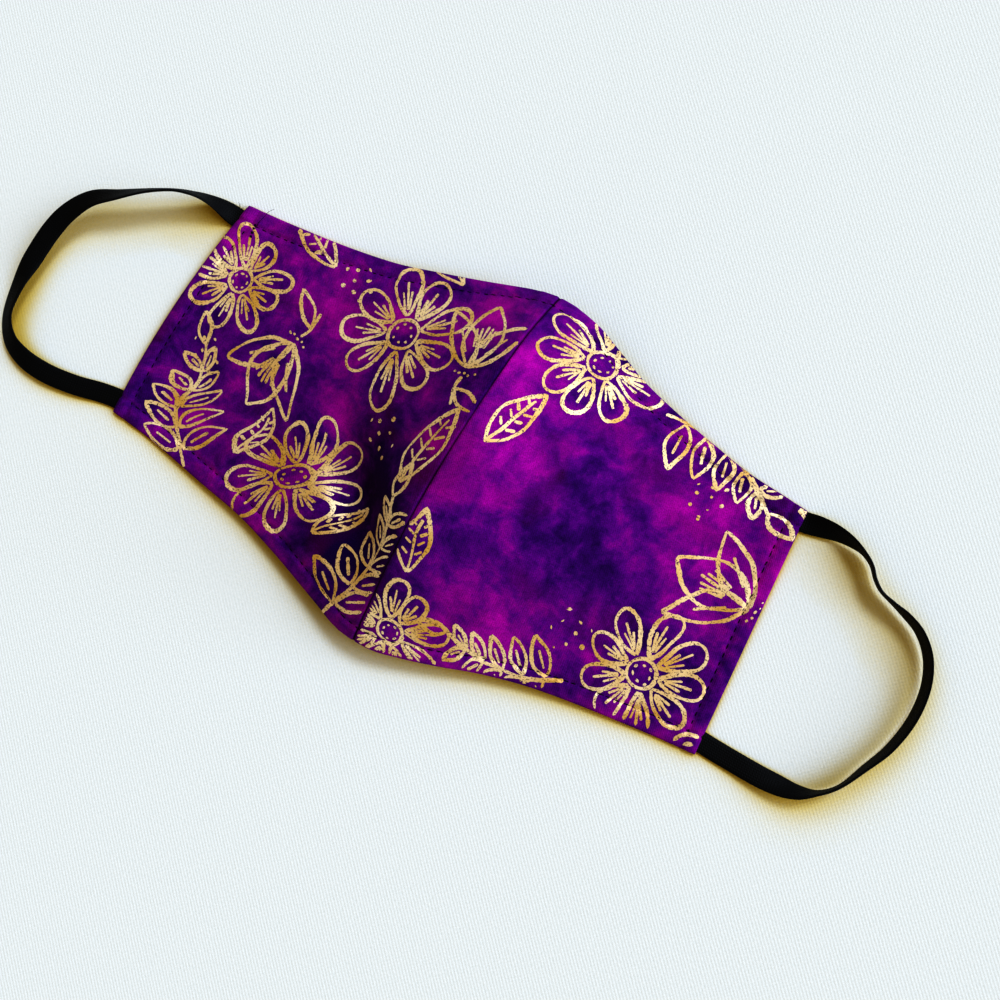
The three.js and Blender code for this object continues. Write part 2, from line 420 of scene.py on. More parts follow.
@dataclass
class PanelShape:
    """The form of one cloth half, with its hems, stitches and seam, in mm."""

    side: Side
    shift: np.ndarray
    thickness: float = 1.6
    edge_bulge: float = 2.5
    flank_from: float = 0.3
    grid_width: float = 108.0
    grid_length: float = 112.0
    grid_step: float = 0.62
    seam_overlap: float = 0.04
    rim_round: float = 0.72
    seam_round: float = 0.42
    stitch_inset_edge: float = 5.6
    stitch_inset_hem: float = 4.6
    stitch_pitch: float = 2.7
    pinch: float = 0.46
    pinch_reach: float = 0.75
    pucker: float = 0.1
    pucker_reach: float = 3.2
    hem_puff: float = 0.2
    allowance: float = 6.5
    allowance_lift: float = 0.22
    groove_depth: float = 0.5
    groove_reach: float = 0.55
    hold_lift: float = 0.3
    hold_reach: float = 3.4
    rumple: float = 0.3
    locate_rounds: int = 14

    SEAM_X = (1.5, 4.8)
    HEM_X = {Side.LEFT: (-104.2, -99.8), Side.RIGHT: (104.8, 98.7)}
    FINE = (0.0, 0.04, 0.13, 0.27, 0.46, 0.72, 1.05, 1.5)
    STRAP_HOLDS = {Side.LEFT: (34.0, -35.0), Side.RIGHT: (36.0, -35.2)}

    def outer(self, across: np.ndarray, along: np.ndarray) -> np.ndarray:
        """Places on the plain outer face, without stitches or rolled edges.

        Args:
            across: shares from the seam (0) to the hem (1).
            along: shares from the chin edge (0) to the nose edge (1).

        Returns:
            The places in mm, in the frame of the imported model.
        """
        sections = SECTIONS[self.side]
        chin_y = read_table(sections, "across", "chin_y", across)
        nose_y = read_table(sections, "across", "nose_y", across)
        chin_z = read_table(sections, "across", "chin_z", across)
        nose_z = read_table(sections, "across", "nose_z", across)
        crown = read_table(sections, "across", "crown", across)
        hem_chin, hem_nose = self.HEM_X[self.side]
        low_x = mix(self.SEAM_X[0], hem_chin, across)
        high_x = mix(self.SEAM_X[1], hem_nose, across)
        bulge = self.edge_bulge * across**3 * 4 * along * (1 - along)
        if self.side is Side.RIGHT:
            bulge = np.zeros_like(bulge)
        x = mix(low_x, high_x, along) + self.side.away * (bulge - self.seam_overlap * (1 - across))
        y = mix(chin_y, nose_y, along)
        ridge = read_table(PROFILE, "along", "ridge", along)
        flank = read_table(PROFILE, "along", "flank", along)
        rise = crown * mix(ridge, flank, np.minimum(across / self.flank_from, 1.0))
        dents = sum(dent.depth_at(x, y) for dent in DENTS[self.side])
        z = mix(chin_z, nose_z, along) + rise - dents * np.minimum(1.0, rise / 4.0)
        place = np.stack([x, y, np.maximum(z, self.thickness)], axis=-1)
        return place + self.shift

    def normal(self, across: np.ndarray, along: np.ndarray) -> np.ndarray:
        """Outward directions of the plain outer face.

        Args:
            across: shares from the seam (0) to the hem (1).
            along: shares from the chin edge (0) to the nose edge (1).

        Returns:
            Directions of length one.
        """
        step = 0.004
        a0, a1 = np.maximum(across - step, 0.0), np.minimum(across + step, 1.0)
        b0, b1 = np.maximum(along - step, 0.0), np.minimum(along + step, 1.0)
        acrossward = self.outer(a1, along) - self.outer(a0, along)
        alongward = self.outer(across, b1) - self.outer(across, b0)
        normal = np.cross(acrossward, alongward) * self.side.away
        normal[..., 0] = np.where(across <= 1e-9, 0.0, normal[..., 0])
        return unit(normal)

    def build(self) -> None:
        """Work out the fine grids of the outer and inner faces."""
        across_stops = graded_stops(self.grid_width, self.grid_step, self.FINE)
        along_stops = graded_stops(self.grid_length, self.grid_step, self.FINE)
        self.across, self.along = np.meshgrid(across_stops, along_stops, indexing="ij")
        plain = self.outer(self.across, self.along)
        normal = self.normal(self.across, self.along)
        self.plain = plain
        self.from_seam = step_lengths(plain, axis=0)
        self.from_chin = step_lengths(plain, axis=1)
        self.full_width = self.from_seam[-1:, :]
        self.full_length = self.from_chin[:, -1:]
        from_hem = self.full_width - self.from_seam
        from_nose = self.full_length - self.from_chin
        relief = self.relief(from_hem, from_nose, plain)
        self.outer_grid = plain + normal * relief[..., None]
        under = -self.thickness - 0.3 * np.minimum(relief, 0.0)
        rim = self.rim_drop(from_hem, from_nose)
        self.outer_grid -= normal * rim[..., None]
        self.inner_grid = plain + normal * (under + rim)[..., None]
        self.inner_grid[..., 2] = np.maximum(self.inner_grid[..., 2], 0.0)
        self.normal_grid = self.grid_normals()
        middle = self.full_length / 2
        self.cut_u = self.from_seam
        self.cut_v = self.from_chin - middle

    def flat_cut(self) -> tuple[tuple[float, float], float]:
        """Measure the sheet's flat size by walking over the plain form.

        Returns:
            The longest ways across and along in metres, to the millimetre, and the
            area of one face in square metres.
        """
        flat = (
            round(float(self.full_width.max()) * MM, 3),
            round(float(self.full_length.max()) * MM, 3),
        )
        acrossward = np.diff(self.plain, axis=0)[:, :-1]
        alongward = np.diff(self.plain, axis=1)[:-1, :]
        cells = np.linalg.norm(np.cross(acrossward, alongward), axis=2)
        return flat, round(float(cells.sum()) * MM**2, 5)

    def relief(self, from_hem: np.ndarray, from_nose: np.ndarray, plain: np.ndarray) -> np.ndarray:
        """Height of the cloth's small relief above the plain face.

        Args:
            from_hem: distances to the hem, in mm.
            from_nose: distances to the nose edge, in mm.
            plain: places on the plain face, in mm.

        Returns:
            Heights along the normal, in mm.
        """
        height = self.rumpled(plain)
        rows = (
            (self.from_chin, self.stitch_inset_edge, self.from_seam),
            (from_nose, self.stitch_inset_edge, self.from_seam),
            (from_hem, self.stitch_inset_hem, self.from_chin),
        )
        for distance, inset, walked in rows:
            ripple = 0.78 + 0.22 * np.cos(2 * np.pi * walked / self.stitch_pitch)
            pinch = self.pinch * np.exp(-(((distance - inset) / self.pinch_reach) ** 2)) * ripple
            pucker = self.pucker * np.exp(-(((distance - inset) / self.pucker_reach) ** 2)) * np.cos(
                2 * np.pi * walked / (2.3 * self.stitch_pitch) + 1.3 * np.sin(walked / 9.0)
            )
            before_stitches = 1 - smooth_step(distance, inset - 1.2, inset)
            puff = self.hem_puff * smooth_step(distance, 0.0, 1.6) * before_stitches
            height = height + puff - pinch + pucker * smooth_step(distance, 0.0, 2.0)
        past_allowance = smooth_step(self.from_seam, self.allowance - 1.0, self.allowance + 0.6)
        height = height + self.allowance_lift * (1 - past_allowance)
        height = height - self.groove_depth * np.exp(-((self.from_seam / self.groove_reach) ** 2))
        for hold_y in self.STRAP_HOLDS[self.side]:
            in_y = np.exp(-(((plain[..., 1] - self.shift[1] - hold_y) / self.hold_reach) ** 4))
            lift = self.hold_lift * in_y * (1 - smooth_step(from_hem, 6.0, 9.0))
            height = height + lift * smooth_step(from_hem, 0.2, 1.4)
        return height

    def rumpled(self, plain: np.ndarray) -> np.ndarray:
        """Low, wide unevenness of handled cotton, in mm.

        Args:
            plain: places on the plain face, in mm.

        Returns:
            Heights along the normal, fading out where the cloth lies flat.
        """
        x, y = plain[..., 0], plain[..., 1]
        phase = 1.7 if self.side is Side.LEFT else 4.2
        waves = (
            np.sin(x / 11.0 + 0.9 * np.sin(y / 17.0) + phase)
            + 0.7 * np.sin(y / 9.0 - x / 23.0 + 2.1 * phase)
            + 0.5 * np.sin((x + y) / 6.5 + 1.6 * np.sin(x / 13.0) + 0.6 * phase)
        )
        lying = 1 - smooth_step(self.across, 0.86, 0.93)
        return self.rumple * waves / 2.2 * lying

    def rim_drop(self, from_hem: np.ndarray, from_nose: np.ndarray) -> np.ndarray:
        """How far the faces close in towards each other at rolled edges, in mm.

        Args:
            from_hem: distances to the hem, in mm.
            from_nose: distances to the nose edge, in mm.

        Returns:
            The drop of either face.
        """
        drop = np.zeros_like(from_hem)
        edges = (
            (self.from_chin, self.rim_round),
            (from_nose, self.rim_round),
            (from_hem, self.rim_round),
            (self.from_seam, self.seam_round),
        )
        for distance, radius in edges:
            inward = np.clip(radius - distance, 0.0, radius)
            drop = np.maximum(drop, radius - np.sqrt(radius**2 - inward**2))
        return drop

    def grid_normals(self) -> np.ndarray:
        """Outward directions of the finished outer grid.

        Returns:
            Directions of length one.
        """
        acrossward = np.gradient(self.outer_grid, axis=0)
        alongward = np.gradient(self.outer_grid, axis=1)
        return unit(np.cross(acrossward, alongward) * self.side.away)

    def locate(self, u: np.ndarray, v: np.ndarray) -> tuple[np.ndarray, np.ndarray]:
        """Find grid positions for places measured on the flat cut of the cloth.

        Args:
            u: distances from the seam, in mm.
            v: distances from the middle of the panel towards the nose, in mm.

        Returns:
            Column and row positions in the grid, with fractions.
        """
        columns, rows = self.cut_u.shape
        column = np.clip(u / self.full_width.mean() * columns, 0, columns - 1.001)
        row = np.clip((0.5 + v / self.full_length.mean()) * rows, 0, rows - 1.001)
        for _ in range(self.locate_rounds):
            at_u = self.sample(self.cut_u, column, row)
            at_v = self.sample(self.cut_v, column, row)
            column = np.clip(column + (u - at_u) / self.grid_step, 0, columns - 1.001)
            row = np.clip(row + (v - at_v) / self.grid_step, 0, rows - 1.001)
        return column, row

    @staticmethod
    def sample(grid: np.ndarray, column: np.ndarray, row: np.ndarray) -> np.ndarray:
        """Read a grid between its points.

        Args:
            grid: values on the grid.
            column: column positions, with fractions.
            row: row positions, with fractions.

        Returns:
            The values at those positions.
        """
        i, j = column.astype(int), row.astype(int)
        s, t = column - i, row - j
        if grid.ndim == 3:
            s, t = s[:, None], t[:, None]
        near = grid[i, j] * (1 - s) + grid[i + 1, j] * s
        far = grid[i, j + 1] * (1 - s) + grid[i + 1, j + 1] * s
        return near * (1 - t) + far * t

    def on_cloth(self, u: np.ndarray, v: np.ndarray, lift: np.ndarray | float) -> np.ndarray:
        """Places above the finished cloth for places on the flat cut, in mm.

        Args:
            u: distances from the seam.
            v: distances from the middle of the panel towards the nose.
            lift: height above the cloth, one for all or one for each place.

        Returns:
            The places.
        """
        column, row = self.locate(u, v)
        place = self.sample(self.outer_grid, column, row)
        normal = unit(self.sample(self.normal_grid, column, row))
        lift = np.broadcast_to(lift, u.shape)
        return place + normal * lift[:, None]

    def stitch_line(self, edge: Edge) -> tuple[np.ndarray, np.ndarray]:
        """Route of the topstitching along one edge.

        Args:
            edge: the edge that the row of stitches follows.

        Returns:
            The route's places in mm, and the outward directions there.
        """
        if edge is Edge.HEM:
            distance = (self.full_width - self.from_seam).T[:, ::-1]
            grids = [np.swapaxes(grid, 0, 1)[:, ::-1] for grid in (self.outer_grid, self.normal_grid)]
            walked, inset, margins = self.from_chin[-1], self.stitch_inset_hem, (self.stitch_inset_edge,) * 2
        else:
            flip = slice(None) if edge is Edge.CHIN else slice(None, None, -1)
            distance = (self.from_chin if edge is Edge.CHIN else self.full_length - self.from_chin)[:, flip]
            grids = [grid[:, flip] for grid in (self.outer_grid, self.normal_grid)]
            walked = self.from_seam[:, self.from_seam.shape[1] // 2]
            inset, margins = self.stitch_inset_edge, (0.5, self.stitch_inset_hem)
        line = np.arange(len(distance))
        after = (distance < inset).sum(axis=1)
        low, high = distance[line, after - 1], distance[line, after]
        share = ((inset - low) / (high - low))[:, None]
        places, normals = [mix(grid[line, after - 1], grid[line, after], share) for grid in grids]
        kept = (walked > margins[0]) & (walked < walked[-1] - margins[1])
        return places[kept], unit(normals[kept])

    def mesh(self, name: str) -> bpy.types.Mesh:
        """Closed mesh of the half: outer face, inner face and rolled edges.

        Args:
            name: the mesh's name.

        Returns:
            The mesh.
        """
        columns, rows = self.across.shape
        count = columns * rows
        points = np.concatenate((self.outer_grid.reshape(-1, 3), self.inner_grid.reshape(-1, 3)))
        outer_faces = grid_faces(columns, rows)
        inner_faces = grid_faces(columns, rows, start=count)[:, ::-1]
        number = np.arange(count).reshape(columns, rows)
        border = np.concatenate((number[:, 0], number[-1, 1:], number[-2::-1, -1], number[0, -2:0:-1]))
        following = np.roll(border, -1)
        walls = np.stack([border, border + count, following + count, following], axis=-1)
        faces = np.concatenate((outer_faces, inner_faces, walls))
        if self.side is Side.LEFT:
            faces = faces[:, ::-1]
        uv = np.stack([self.cut_u, self.cut_v], axis=-1).reshape(-1, 2) * MM
        return mesh_from_arrays(name, points, faces, uv=np.concatenate((uv, uv)))


def srgb(code: str) -> tuple[float, float, float, float]:
    """Linear colour with full alpha from a hex code such as "a8109f".

    Args:
        code: six hex digits.

    Returns:
        Red, green, blue and alpha.
    """
    parts = [int(code[i : i + 2], 16) / 255 for i in (0, 2, 4)]
    linear = [p / 12.92 if p <= 0.04045 else ((p + 0.055) / 1.055) ** 2.4 for p in parts]
    return (*linear, 1.0)


def grey(level: float) -> tuple[float, float, float, float]:
    """Linear grey with full alpha."""
    return (level, level, level, 1.0)


class NodePen:
    """Adds and joins nodes of one material."""

    def __init__(self, name: str) -> None:
        """Start an empty material.

        Args:
            name: the material's name.
        """
        self.material = bpy.data.materials.new(name)
        self.material.use_nodes = True
        self.tree = self.material.node_tree
        self.tree.nodes.clear()
        self.shader = self.add("ShaderNodeBsdfPrincipled")
        self.out = self.add("ShaderNodeOutputMaterial")
        self.join(self.shader, "BSDF", self.out, "Surface")

    def add(self, kind: str, **values: object) -> bpy.types.Node:
        """Add a node and set its plain properties.

        Args:
            kind: the node's type.
            values: its properties.

        Returns:
            The node that was added.
        """
        node = self.tree.nodes.new(kind)
        for key, value in values.items():
            setattr(node, key, value)
        return node

    def join(self, start: bpy.types.Node, output: str | int, end: bpy.types.Node, into: str | int) -> None:
        """Join an output of one node to an input of another."""
        self.tree.links.new(start.outputs[output], end.inputs[into])

    def place(self, use_cut: bool, moved: tuple[float, float, float] = (0, 0, 0)) -> bpy.types.Node:
        """Coordinates of the cloth's cut or of the object, moved by an offset.

        Args:
            use_cut: True for the piece's own flat cut, False for Object coordinates.
            moved: offset of the pattern, in metres.

        Returns:
            The Mapping node that gives the coordinates.
        """
        mapping = self.add("ShaderNodeMapping")
        mapping.inputs["Location"].default_value = moved
        if use_cut:
            self.join(self.add("ShaderNodeUVMap", uv_map="cut"), "UV", mapping, "Vector")
        else:
            self.join(self.add("ShaderNodeTexCoord"), "Object", mapping, "Vector")
        return mapping

    def noise(
        self, place: bpy.types.Node, scale: float, detail: float, rough: float, twist: float = 0.0
    ) -> bpy.types.Node:
        """Noise with the given spots to a metre, detail, roughness and distortion.

        Args:
            place: node that gives the place.
            scale: spots to a metre.
            detail: the noise's detail.
            rough: its roughness.
            twist: its distortion.

        Returns:
            The node that was added.
        """
        node = self.add("ShaderNodeTexNoise")
        node.inputs["Scale"].default_value = scale
        node.inputs["Detail"].default_value = detail
        node.inputs["Roughness"].default_value = rough
        node.inputs["Distortion"].default_value = twist
        self.join(place, "Vector", node, "Vector")
        return node

    def math(self, kind: str, first: object, second: object) -> bpy.types.Node:
        """Math node on two inputs, each a number or a node's first output.

        Args:
            kind: the operation.
            first: the first input.
            second: the second input.

        Returns:
            The node that was added.
        """
        node = self.add("ShaderNodeMath", operation=kind)
        for i, value in enumerate((first, second)):
            if isinstance(value, bpy.types.Node):
                self.join(value, 0, node, i)
            else:
                node.inputs[i].default_value = value
        return node

    def ramp(
        self, source: bpy.types.Node, stops: Sequence[tuple[float, tuple[float, ...]]]
    ) -> bpy.types.Node:
        """Colour ramp over a node's first output.

        Args:
            source: the node to read.
            stops: a position and a colour for each stop.

        Returns:
            The node that was added.
        """
        node = self.add("ShaderNodeValToRGB")
        elements = node.color_ramp.elements
        while len(elements) < len(stops):
            elements.new(0.5)
        for element, (position, colour) in zip(elements, stops):
            element.position = position
            element.color = colour
        self.join(source, 0, node, "Fac")
        return node

    def blend(self, kind: str, share: object, first: bpy.types.Node, second: object) -> bpy.types.Node:
        """Colour mix of two nodes, or of a node and a plain colour.

        Args:
            kind: the blend type.
            share: the share of the second colour, a number or a node.
            first: node with the first colour.
            second: node with the second colour, or the colour.

        Returns:
            The node that was added.
        """
        node = self.add("ShaderNodeMixRGB", blend_type=kind)
        if isinstance(share, bpy.types.Node):
            self.join(share, 0, node, "Fac")
        else:
            node.inputs["Fac"].default_value = share
        self.join(first, "Color", node, "Color1")
        if isinstance(second, bpy.types.Node):
            self.join(second, "Color", node, "Color2")
        else:
            node.inputs["Color2"].default_value = second
        return node

    def bump(
        self,
        height: bpy.types.Node,
        strength: float,
        distance: float,
        under: bpy.types.Node | None = None,
    ) -> bpy.types.Node:
        """Bump from a node's first output, on top of another bump if given.

        Args:
            height: node that gives the height.
            strength: share of the bump that shows.
            distance: its depth, in metres.
            under: the bump below it, or None.

        Returns:
            The node that was added.
        """
        node = self.add("ShaderNodeBump")
        node.inputs["Strength"].default_value = strength
        node.inputs["Distance"].default_value = distance
        self.join(height, 0, node, "Height")
        if under is not None:
            self.join(under, "Normal", node, "Normal")
        return node

    def parts(self, place: bpy.types.Node) -> bpy.types.Node:
        """Split a place into its X, Y and Z.

        Args:
            place: node that gives the place as a vector.

        Returns:
            The node with one output for each axis.
        """
        node = self.add("ShaderNodeSeparateXYZ")
        self.join(place, "Vector", node, 0)
        return node

    def set(self, **values: object) -> None:
        """Set plain values on the shader's sockets; underscores stand for spaces."""
        for key, value in values.items():
            self.shader.inputs[key.replace("_", " ")].default_value = value


def crossing_threads(pen: NodePen, place: bpy.types.Node, threads_to_metre: float) -> bpy.types.Node:
    """Height of a plain weave, as waves along two axes of a place.

    Args:
        pen: the pen that draws the material.
        place: node that gives the place, in metres.
        threads_to_metre: threads side by side in a metre.

    Returns:
        The node that gives the height, from -1 to 1.
    """
    parts = pen.parts(place)
    waves = []
    for axis in (0, 1):
        angle = pen.add("ShaderNodeMath", operation="MULTIPLY")
        pen.join(parts, axis, angle, 0)
        angle.inputs[1].default_value = math.pi * threads_to_metre
        waves.append(pen.math("SINE", angle, 0.0))
    return pen.math("MULTIPLY", waves[0], waves[1])


@dataclass(frozen=True)
class DyeAndShadePool:
    """A patch where the cloth's tone is darker or brighter: most are pools where the dye ran, and the
    darkest on the left half is painted shade on the dented flank. Its place on the cut and reach, in mm.
    """

    u: float
    v: float
    reach: float
    change: float


DYE_AND_SHADE_POOLS = {
    Side.LEFT: (
        # Painted shade: darkens the dented flank left of the seam, which faces away from the light.
        DyeAndShadePool(17, -30, 31, -0.18),
        DyeAndShadePool(30, 6, 16, -0.05),
        DyeAndShadePool(62, -12, 22, -0.05),
        DyeAndShadePool(88, 26, 17, -0.06),
        DyeAndShadePool(104, -30, 14, -0.08),
        DyeAndShadePool(46, 38, 15, 0.05),
        DyeAndShadePool(56, -34, 16, 0.04),
        DyeAndShadePool(92, 2, 14, 0.05),
        DyeAndShadePool(7, 46, 16, 0.06),
    ),
    Side.RIGHT: (
        DyeAndShadePool(12, 34, 26, 0.07),
        DyeAndShadePool(18, 4, 17, 0.05),
        DyeAndShadePool(56, -4, 22, -0.04),
        DyeAndShadePool(38, 16, 13, -0.05),
        DyeAndShadePool(32, -34, 18, 0.02),
        DyeAndShadePool(94, -24, 16, -0.03),
        DyeAndShadePool(70, 22, 14, 0.05),
        DyeAndShadePool(104, 14, 12, 0.07),
        DyeAndShadePool(48, 46, 12, -0.05),
    ),
}


@dataclass(frozen=True)
class NoiseLayer:
    """A layer of clouds in the dye: spots to a metre, detail, roughness, distortion and weight."""

    spots: float
    detail: float
    rough: float
    twist: float
    weight: float


@dataclass(frozen=True)
class DyedCotton:
    """Plain-weave cotton, hand dyed in clouds of indigo, violet and magenta, with painted shade on the
    dented left flank and along the centre seam.
    """

    name: str
    moved: tuple[float, float, float]
    pools: tuple[DyeAndShadePool, ...]
    inks: tuple[tuple[float, str], ...] = (
        (0.34, "240748"),
        (0.42, "40096a"),
        (0.49, "620b84"),
        (0.55, "850c90"),
        (0.62, "a80ca2"),
        (0.70, "c815b4"),
    )
    layers: tuple[NoiseLayer, ...] = (
        NoiseLayer(30.0, 2.0, 0.5, 0.3, weight=0.42),
        NoiseLayer(115.0, 4.0, 0.6, 0.45, weight=0.44),
        NoiseLayer(420.0, 4.0, 0.6, 0.3, weight=0.14),
    )
    blush: str = "7d0a62"
    blush_share: float = 0.35
    blush_moved: tuple[float, float, float] = (0.31, 0.17, 0.0)
    threads_to_metre: float = 2700.0

    def make(self) -> bpy.types.Material:
        """Build the material.

        Returns:
            The material.
        """
        pen = NodePen(self.name)
        cut = pen.place(True, self.moved)
        tone = None
        for layer in self.layers:
            clouds = pen.noise(cut, layer.spots, layer.detail, layer.rough, layer.twist)
            weighted = pen.math("MULTIPLY", clouds, layer.weight)
            tone = weighted if tone is None else pen.math("ADD", tone, weighted)
        # Pools of dye colour, and one of painted shade on the dented left flank.
        for pool in self.pools:
            tone = pen.math("ADD", tone, self.pooled(pen, pool))
        dye = pen.ramp(tone, [(stop, srgb(code)) for stop, code in self.inks])
        patches = pen.noise(pen.place(True, self.blush_moved), 38.0, 3.0, 0.5, 0.5)
        warm = pen.ramp(patches, [(0.5, grey(0.0)), (0.72, grey(1.0))])
        dye = pen.blend("MIX", pen.math("MULTIPLY", warm, self.blush_share), dye, srgb(self.blush))
        grain = pen.noise(cut, 2300.0, 2.0, 0.5)
        shade = pen.ramp(grain, [(0.3, grey(0.72)), (0.7, grey(1.18))])
        dye = pen.blend("MULTIPLY", 1.0, dye, shade)
        # Painted shade along the centre seam.
        dye = pen.blend("MULTIPLY", 1.0, dye, self.painted_seam_shade(pen))
        pen.join(dye, "Color", pen.shader, "Base Color")
        weave = crossing_threads(pen, cut, self.threads_to_metre)
        lower = pen.bump(pen.noise(cut, 330.0, 4.0, 0.55), 0.5, 0.0004)
        pen.join(pen.bump(weave, 0.35, 0.00012, lower), "Normal", pen.shader, "Normal")
        pen.set(Roughness=0.8, Specular_IOR_Level=0.07, Sheen_Weight=0.05, Sheen_Roughness=0.45)
        pen.set(Sheen_Tint=srgb("c03be0"), Specular_Tint=srgb("c040e0"))
        return pen.material

    def pooled(self, pen: NodePen, pool: DyeAndShadePool) -> bpy.types.Node:
        """Change of tone round one pool, with a ragged rim; every pool is dye colour except one of painted
        shade on the left flank.

        Args:
            pen: the pen that draws the material.
            pool: the pool.

        Returns:
            The node that gives the change.
        """
        rim = pen.noise(pen.place(True, self.moved), 60.0, 2.0, 0.5)
        gap = pen.add("ShaderNodeVectorMath", operation="DISTANCE")
        pen.join(pen.place(True), "Vector", gap, 0)
        gap.inputs[1].default_value = (pool.u * MM, pool.v * MM, 0.0)
        ragged = pen.add("ShaderNodeMath", operation="ADD")
        pen.join(gap, "Value", ragged, 0)
        swing = pen.math("MULTIPLY", pen.math("SUBTRACT", rim, 0.5), 0.5 * pool.reach * MM)
        pen.join(swing, 0, ragged, 1)
        fade = pen.add("ShaderNodeMapRange", interpolation_type="SMOOTHSTEP")
        pen.join(ragged, 0, fade, "Value")
        fade.inputs["From Min"].default_value = 0.25 * pool.reach * MM
        fade.inputs["From Max"].default_value = pool.reach * MM
        fade.inputs["To Min"].default_value = pool.change
        fade.inputs["To Max"].default_value = 0.0
        return fade

    def painted_seam_shade(self, pen: NodePen) -> bpy.types.Node:
        """Painted shade: the cloth darkened where it turns down into the centre seam.

        Args:
            pen: the pen that draws the material.

        Returns:
            The node that gives the painted shade.
        """
        from_seam = pen.math("MULTIPLY", pen.parts(pen.place(True)), 1 / MM)
        return pen.ramp(from_seam, [(0.12, grey(0.12)), (0.5, grey(1.0))])


@dataclass(frozen=True)
class GoldFoil:
    """Grainy gold ink that breaks up a little towards its edges."""

    name: str = "gold_foil"
    light: str = "ffe7b8"
    deep: str = "dcae55"
    worn: str = "42182c"

    def make(self) -> bpy.types.Material:
        """Build the material.

        Returns:
            The material.
        """
        pen = NodePen(self.name)
        place = pen.place(False)
        clouds = pen.noise(place, 70.0, 2.0, 0.5)
        grain = pen.noise(place, 1700.0, 3.0, 0.7)
        ink = pen.ramp(clouds, [(0.35, srgb(self.deep)), (0.62, srgb(self.light))])
        gaps = pen.ramp(grain, [(0.36, grey(1.0)), (0.46, grey(0.0))])
        ink = pen.blend("MIX", gaps, ink, srgb(self.worn))
        pen.join(ink, "Color", pen.shader, "Base Color")
        metal = pen.ramp(grain, [(0.33, grey(0.0)), (0.41, grey(0.16))])
        pen.join(metal, "Color", pen.shader, "Metallic")
        pen.join(pen.bump(grain, 0.3, 0.00008), "Normal", pen.shader, "Normal")
        pen.set(Roughness=0.42)
        return pen.material


@dataclass(frozen=True)
class BlackElastic:
    """Braided black elastic with fine slanting yarns."""

    name: str = "elastic"
    dark: str = "020306"
    lit: str = "080b10"
    fold: float = 0.00045
    yarn_pitch: float = 0.00085

    def make(self) -> bpy.types.Material:
        """Build the material.

        Returns:
            The material.
        """
        pen = NodePen(self.name)
        cut = pen.place(True)
        parts = pen.parts(cut)
        folded = pen.add("ShaderNodeMath", operation="PINGPONG")
        pen.join(parts, 0, folded, 0)
        folded.inputs[1].default_value = self.fold
        slant = pen.math("MULTIPLY", folded, 1.1)
        along = pen.add("ShaderNodeMath", operation="ADD")
        pen.join(parts, 1, along, 0)
        pen.join(slant, 0, along, 1)
        yarn = pen.math("SINE", pen.math("MULTIPLY", along, 2 * math.pi / self.yarn_pitch), 0.0)
        lift = pen.math("MULTIPLY", pen.math("ADD", yarn, 1.0), 0.5)
        fuzz = pen.noise(cut, 1800.0, 3.0, 0.6)
        # Painted shade between the raised yarns and painted highlight on their tops, mixed with random fuzz.
        tone = pen.math("ADD", pen.math("MULTIPLY", lift, 0.55), pen.math("MULTIPLY", fuzz, 0.45))
        colour = pen.ramp(tone, [(0.2, srgb(self.dark)), (0.85, srgb(self.lit))])
        pen.join(colour, "Color", pen.shader, "Base Color")
        pen.join(pen.bump(tone, 0.5, 0.00018), "Normal", pen.shader, "Normal")
        pen.set(Roughness=0.6, Specular_IOR_Level=0.15, Sheen_Weight=0.03, Sheen_Roughness=0.4)
        pen.set(Sheen_Tint=srgb("a9bcc4"))
        return pen.material


@dataclass(frozen=True)
class SewingThread:
    """Twisted dark violet polyester thread."""

    name: str = "thread"
    dark: str = "04010e"
    lit: str = "100428"

    def make(self) -> bpy.types.Material:
        """Build the material.

        Returns:
            The material.
        """
        pen = NodePen(self.name)
        twist = pen.noise(pen.place(False), 3200.0, 2.0, 0.5)
        colour = pen.ramp(twist, [(0.3, srgb(self.dark)), (0.7, srgb(self.lit))])
        pen.join(colour, "Color", pen.shader, "Base Color")
        pen.join(pen.bump(twist, 0.4, 0.00008), "Normal", pen.shader, "Normal")
        pen.set(Roughness=0.7, Specular_IOR_Level=0.08)
        return pen.material


